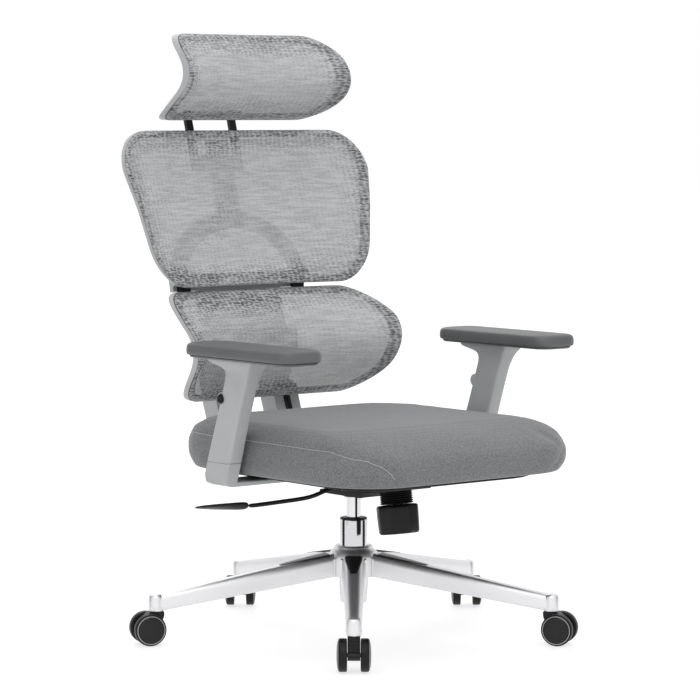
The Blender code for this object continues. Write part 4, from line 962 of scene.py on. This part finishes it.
ARM_LEAN = radians(19)
ARM_X = 0.3045
ARM_THICKNESS, ARM_DEPTH = 0.031, 0.064
FOOT_Y, BRACKET_RISE, BRACKET_TOP = 0.014, 0.047, 0.3490
BRACKET_TOP_Y = FOOT_Y - BRACKET_RISE * sin(ARM_LEAN) / cos(ARM_LEAN)
SLEEVE_LENGTH, SLEEVE_FLARE, FLARE_BACK = 0.1995, 0.128, 0.020
PAD_LENGTH, PAD_WIDTH = 0.315, 0.095


def arm_frame(side):
    """The arm's own frame: its origin is on the bracket's top, with +Z up the leaning sleeve."""
    place = Matrix.Translation((side * ARM_X, BRACKET_TOP_Y, BRACKET_TOP))
    return place @ Matrix.Rotation(ARM_LEAN, 4, "X")


def sleeve_shape(place):
    """A leaning sleeve that flares fore and aft into a level top under the pad."""
    # How far up each row is, its depth and width, how level it is and how far back its middle sits.
    rows = [(0.0, ARM_DEPTH * 1.042, 0.96, 1.0, 0.0), (0.012, ARM_DEPTH * 1.056, 1.0, 0.95, 0.0),
            (0.22, ARM_DEPTH * 0.97, 1.0, 0.0, 0.0), (0.45, ARM_DEPTH * 0.94, 1.0, 0.0, 0.0),
            (0.66, ARM_DEPTH * 0.94, 1.0, 0.08, 0.0), (0.80, ARM_DEPTH * 0.97, 1.0, 0.25, 0.01),
            (0.88, ARM_DEPTH * 1.16, 1.08, 0.6, 0.15), (0.925, SLEEVE_FLARE * 0.76, 1.26, 0.85, 0.55),
            (0.955, SLEEVE_FLARE * 0.93, 1.44, 0.96, 0.85), (0.98, SLEEVE_FLARE, 1.56, 1.0, 1.0),
            (1.0, SLEEVE_FLARE, 1.6, 1.0, 1.0)]
    rings = []
    for share, depth, width, level, back in finer(rows, 4):
        centre = place @ Vector((0, 0, 0.0003 + SLEEVE_LENGTH * share))
        centre.y += FLARE_BACK * back
        tilt = Matrix.Rotation(ARM_LEAN * (1 - level), 3, "X")
        half_width, half_depth = ARM_THICKNESS * width / 2, depth / 2
        outline = eased([(-half_width, -half_depth), (half_width, -half_depth), (half_width, half_depth),
                         (-half_width, half_depth)], 0.0055, 4)
        rings.append([centre + tilt @ Vector((x, y, 0)) for x, y in outline])
    return loft(rings)


def pad_shape(side):
    """A soft pad over a thin shell, crowned across, whose ends roll down."""
    low = bottom_of("arm_pad_left")
    height = top_of("arm_pad_left") - low
    middle_y = middle_of("arm_pad_left").y - AXIS.y
    rows = [(0.0, 0.030), (0.0, 0.010), (0.02, 0.0065), (0.11, 0.0050), (0.125, 0.0062), (0.15, 0.0062),
            (0.17, 0.0026), (0.24, 0.0006), (0.45, 0.0), (0.66, 0.0004), (0.82, 0.0018), (0.91, 0.0048),
            (0.955, 0.0095), (0.98, 0.0190), (1.0, 0.0380)]
    rings = []
    for share, inset in finer(rows, 2):
        corner = max(0.029 - inset / 2, 0.008)
        ring = [(side * ARM_X + p.x, middle_y + p.y, low + max(share, 0) * height)
                for p in round_corners(PAD_WIDTH - 2 * inset, PAD_LENGTH - 2 * inset, corner, 8, 10)]
        rings.append(ring)
    return loft(rings)


def boss_shape():
    """The boss that the button is let into, turned about Z with the button's end upwards."""
    half = ARM_THICKNESS / 2
    return turned([(0.0, -half + 0.001), (0.0108, -half + 0.001), (0.0122, -half + 0.0024),
                   (0.0122, half - 0.0012), (0.0114, half + 0.0002), (0.0100, half - 0.0002),
                   (0.0092, half - 0.0012), (0.0089, half - 0.0100), (0.0, half - 0.0101)], 40)


def build_arms():
    for side, name in ((1, "left"), (-1, "right")):
        refined(f"arm_bracket_{name}", "grey", 0.0045, sharp=50)
        refined(f"arm_post_{name}", "black", 0.0012)
        refined(f"arm_button_{name}", "black", 0.0012)
        piece(f"arm_sleeve_{name}_fine", sleeve_shape(arm_frame(side)), "grey", f"arm_{name}",
              [f"arm_sleeve_{name}"], sharp=50)
        pad = piece(f"arm_pad_{name}_fine", pad_shape(side), "pad", f"arm_{name}", [f"arm_pad_{name}"],
                    sharp=50)
        button = middle_of(f"arm_button_{name}") - AXIS
        place = (Matrix.Translation((side * ARM_X, button.y, button.z))
                 @ Matrix.Rotation(side * pi / 2, 4, "Y"))
        piece(f"arm_button_boss_{name}", moved(boss_shape(), place), "grey", f"arm_{name}", sharp=50)


# Panels of the back: one outline and one curved surface serve the rim, the mesh and the seams.

RIM_WIDTH = 0.013
LUMBAR = {"width": 0.510, "bottom": 0.020, "top": 0.228, "corner": 0.066, "narrow": 0.90, "rim": 0.026,
          "y": 0.225, "lean": 0.0, "wing": 0.066, "fade": 0.95, "spread": 0.0, "upper_curl": 0.075,
          "lower_curl": 0.048}
BACK = {"width": 0.588, "bottom": 0.238, "top": 0.536, "corner": 0.075, "narrow": 0.845, "rim": 0.020,
        "y": 0.336, "lean": 0.29, "wing": 0.042, "fade": 0.0, "spread": 0.45, "upper_curl": 0.0,
        "lower_curl": 0.0}
HEADREST = {"width": 0.380, "bottom": 0.557, "top": 0.722, "corner": 0.050, "narrow": 1.08, "rim": 0.034,
            "y": 0.307, "lean": 0.0, "wing": 0.045, "fade": 0.6, "spread": 0.0, "upper_curl": 0.058,
            "lower_curl": 0.092}
CORNER_STEPS, SIDE_STEPS, ACROSS_STEPS = 12, 14, 30


def panel_outline(panel, inset):
    """Points (x, z) around a panel: a round-cornered shape that narrows towards its bottom."""
    height = panel["top"] - panel["bottom"]
    corner = panel["corner"]
    half_x, half_z = panel["width"] / 2 - corner, height / 2 - corner
    middle = (panel["top"] + panel["bottom"]) / 2
    corners = ((half_x, half_z, 90, SIDE_STEPS), (half_x, -half_z, 0, ACROSS_STEPS),
               (-half_x, -half_z, -90, SIDE_STEPS), (-half_x, half_z, 180, ACROSS_STEPS))
    points = []
    for k, (cx, cz, first, straight) in enumerate(corners):
        for i in range(CORNER_STEPS + 1):
            angle = radians(first - 90 * i / CORNER_STEPS)
            offset = Vector((cos(angle), sin(angle))) * (corner - inset)
            points.append(Vector((cx, cz)) + offset)
        next_start = Vector(corners[(k + 1) % 4][:2]) + offset
        last = points[-1]
        points += [last.lerp(next_start, i / straight) for i in range(1, straight)]
    shaped = []
    for x, z in points:
        up = (z + height / 2) / height
        x *= panel["narrow"] + (1 - panel["narrow"]) * min(1.0, up * 1.35)
        shaped.append((x, SEAT_TOP + middle + z))
    return shaped


def panel_depth(panel, x, z):
    """How far back a panel's surface is at a point: it leans, curls and wraps forward at its wings."""
    middle = SEAT_TOP + (panel["top"] + panel["bottom"]) / 2
    half_height = (panel["top"] - panel["bottom"]) / 2
    share = (z - middle) / half_height
    curl = panel["upper_curl"] if share > 0 else panel["lower_curl"]
    side = min(1.0, abs(x) / (panel["width"] / 2))
    wing = panel["wing"] * side ** 2.2 * (1 - panel["fade"] * min(1.0, share * share))
    wing *= 1 - panel["spread"] * max(0.0, min(1.0, share))
    return panel["y"] + (z - middle) * panel["lean"] + curl * share * share - wing


def rim_section(panel):
    """The rim's section as (inset, back): its front and inner faces carry the mesh, the rest is bare."""
    half = panel["rim"] / 2
    corners = [(0.0, -half * 0.55), (0.0, half * 0.75), (RIM_WIDTH * 0.30, half), (RIM_WIDTH, half * 0.85),
               (RIM_WIDTH, -half * 0.75), (RIM_WIDTH * 0.42, -half)]
    return [tuple(p) for p in eased(corners, 0.0035, 2)]


def along_panel(panel, inset, back):
    return [Vector((x, panel_depth(panel, x, z) + back, z)) for x, z in panel_outline(panel, inset)]


def build_rim(name, panel, body, replaces):
    section = rim_section(panel)
    strips = [along_panel(panel, inset, back) for inset, back in section]
    rings = [[strip[i] for strip in strips] for i in range(len(strips[0]))]
    count = len(section)
    # The last corners of the section, from the inner face round the front, are under the mesh.
    wrapped_from = count - 6

    def choose(index):
        return 1 if index % count >= wrapped_from else 0

    piece(name, loft(rings, closed=True), "grey", body, replaces, sharp=60, kinds=("wrap",), choose=choose)
    half = panel["rim"] / 2
    seam = along_panel(panel, 0.0004, -half * 0.62)
    # A dark cord along the rim's groove: thread, with painted shadow where the mesh is tucked in.
    piece(name + "_seam", tube(seam, 0.0011, 6, closed=True), "seam", body)


def along_surface(panel, places):
    """How long a line is that runs through places (x, z) on a panel's surface."""
    points = [Vector((x, panel_depth(panel, x, z), z)) for x, z in places]
    return sum((b - a).length for a, b in zip(points, points[1:]))


def build_sheet(name, panel, body, replaces):
    """The mesh, pulled over the rim's front edge all round and sinking a little inside it."""
    middle = SEAT_TOP + (panel["top"] + panel["bottom"]) / 2
    front = panel["rim"] / 2 + 0.0009
    points, faces, rim_shade = [], [], []
    rows = []
    # Over the rim the rows keep their distance from its edge; inside it they shrink towards the middle.
    # Each row: its inset, how far forward it stands, and its share of painted shade, darkest just inside the
    # rim's edge.
    for inset, back, near in (
            (-0.0006, 0.60, 0.5), (0.0006, 0.80, 0.6), (0.0028, 0.96, 0.7), (0.0060, 1.0, 0.8),
            (0.0100, 0.98, 0.9), (0.0140, 0.93, 1.0), (0.0190, 0.84, 1.0), (0.0250, 0.72, 0.9),
            (0.0320, 0.58, 0.62), (0.0400, 0.44, 0.30)):
        rows.append((panel_outline(panel, inset), -front * back, near))
    inner = rows[-1][0]
    for share, back, near in ((0.90, 0.33, 0.12), (0.80, 0.24, 0.04), (0.68, 0.16, 0.0), (0.56, 0.10, 0.0),
                              (0.44, 0.06, 0.0), (0.32, 0.03, 0.0), (0.20, 0.01, 0.0), (0.08, 0.0, 0.0)):
        rows.append(([(x * share, middle + (z - middle) * share) for x, z in inner], -front * back, near))
    outline = rows[0][0]
    count = len(outline)
    for row, back, near in rows:
        points += [Vector((x, panel_depth(panel, x, z) + back, z)) for x, z in row]
        rim_shade += [near] * count
    points.append(Vector((0, panel_depth(panel, 0, middle), middle)))
    rim_shade.append(0.0)
    for i in range(count):
        j = (i + 1) % count
        for ring in range(len(rows) - 1):
            a, b = ring * count, (ring + 1) * count
            faces.append((a + i, a + j, b + j, b + i))
        last = (len(rows) - 1) * count
        faces.append((last + i, last + j, len(points) - 1))
    sheet = piece(name, (points, faces), "mesh", body, replaces, sharp=180)
    # The painted rim shade is stored on the sheet's points for its material.
    values = sheet.data.attributes.new("rim_shade", "FLOAT", "POINT").data
    for value, near in zip(values, rim_shade):
        value.value = near
    # Its flat size is its length along the surface, across its middle and up its middle.
    half, low, high = max(x for x, _ in outline), min(z for _, z in outline), max(z for _, z in outline)
    across = [(half * (i / 20 - 1), middle) for i in range(41)]
    up = [(0, low + (high - low) * i / 40) for i in range(41)]
    width, height = along_surface(panel, across), along_surface(panel, up)


# Yoke, sliding back and posts.

YOKE_LEAN = radians(13)
LEG_X = 0.071
YOKE_FRAME = Matrix.Translation((0, 0.3225, SEAT_TOP + 0.018)) @ Matrix.Rotation(-YOKE_LEAN, 4, "X")


def build_yoke():
    refined("back_yoke", "grey", 0.0030, sharp=50)
    for side, name in ((-1, "right"), (1, "left")):
        lower = Vector((0, 0.2753, 0.3647))
        upper = YOKE_FRAME @ Vector((0, -0.0225, 0.010))
        out = Vector((0, -0.94, 0.34)) * 0.0009
        x = side * LEG_X
        rings = []
        for share in (0.0, 0.33, 0.66, 1.0):
            at = lower.lerp(upper, share) + out
            rings.append([at + Vector((x + dx, dy, 0)) for dx, dy in
                          ((-0.008, 0.004), (-0.008, 0.0008), (-0.0066, 0), (0.0066, 0), (0.008, 0.0008),
                           (0.008, 0.004))])
        # A black strip down each yoke leg stands in for its groove: painted shade, in the black plastic.
        piece(f"yoke_groove_shade_{name}", loft(rings), "black", "seat")


def build_back():
    refined("back_carrier", "grey", 0.0020)
    refined("back_arch", "grey", 0.0020, sharp=50)
    for side, name in ((1, "left"), (-1, "right")):
        refined(f"back_clip_{name}", "black", 0.0012)
        outline = eased([(0.3440, 0.6260), (0.3440, 0.6480), (0.3570, 0.6480), (0.3540, 0.6260)], 0.002, 2)
        tab = loft([[(side * x, y, z) for y, z in outline] for x in (0.127, 0.152)])
        piece(f"back_clip_tab_{name}", tab, "black", "back", bevel=0.0008)
    kept("lumbar_pin", "plated")
    build_rim("back_frame_fine", BACK, "back", ["back_frame"])
    build_sheet("back_mesh_fine", BACK, "back", ["back_mesh"])


def build_lumbar():
    refined("lumbar_bracket", "grey", 0.0015)
    build_rim("lumbar_frame_fine", LUMBAR, "lumbar", ["lumbar_frame"])
    build_sheet("lumbar_mesh_fine", LUMBAR, "lumbar", ["lumbar_mesh"])


HEAD_PIN_Y, HEAD_PIN_Z = 0.45705, 0.97793


def build_headrest():
    refined("headrest_bracket", "black", 0.0012)
    build_rim("headrest_frame_fine", HEADREST, "headrest", ["headrest_frame"])
    build_sheet("headrest_mesh_fine", HEADREST, "headrest", ["headrest_mesh"])
    front, back, low, high = 0.395, HEAD_PIN_Y + 0.0064, HEAD_PIN_Z - 0.0062, HEAD_PIN_Z + 0.0062
    outline = eased([(front, low), (front, high), (back, high), (back, low)], 0.005, 4)
    lugs = [loft([[(side * 0.030 + dx, y, z) for y, z in outline] for dx in (-0.007, 0.007)])
            for side in (-1, 1)]
    piece("headrest_lugs", joined(*lugs), "grey", "headrest", bevel=0.0008)


# Stage.

CARD_WIDTH, CARD_HEIGHT, CARD_AWAY = 1.2, 2.2, 2.5
CAMERA_TURN, CAMERA_SLOPE = radians(39), atan(0.079)
CAMERA_AIM, CAMERA_ASIDE = 0.537, 0.0068
SENSOR, LENS = 36, 155.9314286          # millimetres


def build_floor():
    points, faces = turned([(0.0, 0.0), (3.0, 0.0), (8.0, 0.0), (30.0, 0.0)], 96)
    mesh = bpy.data.meshes.new("studio_floor")
    # The disc's last face would cover it a second time.
    mesh.from_pydata([tuple(p) for p in points], [], [f for f in faces if len(f) < 90])
    mesh.materials.append(studio_floor())
    floor = bpy.data.objects.new("studio_floor", mesh)
    floor.location.z = -0.0006
    bpy.context.collection.objects.link(floor)


def build_lights():
    world = bpy.data.worlds.new("Studio")
    world.use_nodes = True
    background = world.node_tree.nodes["Background"]
    background.inputs["Color"].default_value = (1, 1, 1, 1)
    background.inputs["Strength"].default_value = 1.0
    bpy.context.scene.world = world
    # Soft boxes: place, aimed height, size and power.
    for name, place, aim, size, power in (
            ("Key", (-2.2, -2.6, 3.2), 0.5, 1.8, 26), ("Fill", (3.2, -2.2, 2.0), 0.5, 2.2, 8),
            ("Rim", (1.5, 3.2, 2.8), 0.6, 2.0, 14), ("Top", (0.0, 0.0, 4.0), 0.5, 2.6, 26)):
        lamp = bpy.data.lights.new(name, "AREA")
        lamp.size, lamp.energy = size, power
        light = bpy.data.objects.new(name, lamp)
        light.location = place
        light.rotation_euler = (Vector((0, 0, aim)) - Vector(place)).to_track_quat("-Z", "Y").to_euler()
        bpy.context.collection.objects.link(light)


def build_cards(right):
    """Black cards beside the chair, which only reflections show: they give the chrome its dark edges."""
    black = new_material("Card, black flock", (0.004, 0.004, 0.004), 0.9)[0]
    for name, side in (("left", -1), ("right", 1)):
        place = right * (CARD_AWAY * side)
        along = Vector((-right.y, right.x, 0)) * CARD_WIDTH / 2
        up = Vector((0, 0, CARD_HEIGHT))
        mesh = bpy.data.meshes.new(f"studio_card_{name}")
        mesh.from_pydata([place - along, place + along, place + along + up, place - along + up], [],
                         [(0, 1, 2, 3)])
        mesh.materials.append(black)
        card = bpy.data.objects.new(f"studio_card_{name}", mesh)
        card.visible_camera = card.visible_diffuse = card.visible_shadow = False
        bpy.context.collection.objects.link(card)


def build_stage():
    bpy.context.scene.view_settings.view_transform = "Standard"
    build_floor()
    build_lights()
    right = Vector((cos(CAMERA_TURN), -sin(CAMERA_TURN), 0))
    build_cards(right)
    level = cos(CAMERA_SLOPE)
    away = Vector((-sin(CAMERA_TURN) * level, -cos(CAMERA_TURN) * level, sin(CAMERA_SLOPE)))
    aim = AXIS + Vector((0, 0, CAMERA_AIM)) - right * CAMERA_ASIDE
    lens = bpy.data.cameras.new("Camera")
    lens.sensor_width, lens.lens = SENSOR, LENS
    lens.clip_end = 200
    camera = bpy.data.objects.new("Camera", lens)
    camera.location = aim + away * sizes().camera_distance
    camera.rotation_euler = (-away).to_track_quat("-Z", "Y").to_euler()
    bpy.context.collection.objects.link(camera)
    bpy.context.scene.camera = camera


# Operators, panel and registration.

class CHAIR_OT_stage(bpy.types.Operator):
    """Lay the floor and place the lights and the camera"""

    bl_idname = "chair.stage"
    bl_label = "Stage"

    def execute(self, context):
        build_stage()
        return {"FINISHED"}


class CHAIR_OT_base(bpy.types.Operator):
    """Build the five-star base and the gas lift"""

    bl_idname = "chair.base"
    bl_label = "Base and gas lift"

    def execute(self, context):
        build_base()
        return {"FINISHED"}


class CHAIR_OT_casters(bpy.types.Operator):
    """Build the five twin-wheel casters"""

    bl_idname = "chair.casters"
    bl_label = "Casters"

    def execute(self, context):
        build_casters()
        return {"FINISHED"}


class CHAIR_OT_mechanism(bpy.types.Operator):
    """Build the tilt mechanism with its lever, gaiter and knob"""

    bl_idname = "chair.mechanism"
    bl_label = "Tilt mechanism"

    def execute(self, context):
        build_mechanism()
        return {"FINISHED"}


class CHAIR_OT_seat(bpy.types.Operator):
    """Fill the seat's cushion and sew its seams"""

    bl_idname = "chair.seat"
    bl_label = "Seat"

    def execute(self, context):
        build_seat()
        return {"FINISHED"}


class CHAIR_OT_arms(bpy.types.Operator):
    """Build both arms with their posts, pads and buttons"""

    bl_idname = "chair.arms"
    bl_label = "Arms"

    def execute(self, context):
        build_arms()
        return {"FINISHED"}


class CHAIR_OT_back(bpy.types.Operator):
    """Build the yoke, the sliding back and its main panel"""

    bl_idname = "chair.back"
    bl_label = "Yoke and back"

    def execute(self, context):
        build_yoke()
        build_back()
        return {"FINISHED"}


class CHAIR_OT_lumbar(bpy.types.Operator):
    """Build the lumbar panel"""

    bl_idname = "chair.lumbar"
    bl_label = "Lumbar panel"

    def execute(self, context):
        build_lumbar()
        return {"FINISHED"}


class CHAIR_OT_headrest(bpy.types.Operator):
    """Build the headrest and its sliding posts"""

    bl_idname = "chair.headrest"
    bl_label = "Headrest"

    def execute(self, context):
        build_headrest()
        return {"FINISHED"}


OPERATORS = (CHAIR_OT_stage, CHAIR_OT_base, CHAIR_OT_casters, CHAIR_OT_mechanism, CHAIR_OT_seat,
             CHAIR_OT_arms, CHAIR_OT_back, CHAIR_OT_lumbar, CHAIR_OT_headrest)


class CHAIR_PT_build(bpy.types.Panel):
    """The chair's pieces and settings"""

    bl_label = "Mesh swivel chair"
    bl_space_type = "VIEW_3D"
    bl_region_type = "UI"
    bl_category = "Chair"

    def draw(self, context):
        for group in (context.scene.chair_sizes, context.scene.chair_colours):
            for name in group.__annotations__:
                self.layout.prop(group, name)
        for operator in OPERATORS:
            self.layout.operator(operator.bl_idname)


CLASSES = (ChairSizes, ChairColours, *OPERATORS, CHAIR_PT_build)


def register():
    for each in CLASSES:
        bpy.utils.register_class(each)
    bpy.types.Scene.chair_sizes = PointerProperty(type=ChairSizes)
    bpy.types.Scene.chair_colours = PointerProperty(type=ChairColours)


def unregister():
    del bpy.types.Scene.chair_colours
    del bpy.types.Scene.chair_sizes
    for each in reversed(CLASSES):
        bpy.utils.unregister_class(each)


def main():
    register()
    bpy.ops.chair.stage()
    bpy.ops.chair.base()
    bpy.ops.chair.casters()
    bpy.ops.chair.mechanism()
    bpy.ops.chair.seat()
    bpy.ops.chair.arms()
    bpy.ops.chair.back()
    bpy.ops.chair.lumbar()
    bpy.ops.chair.headrest()


if __name__ == "__main__":
    main()
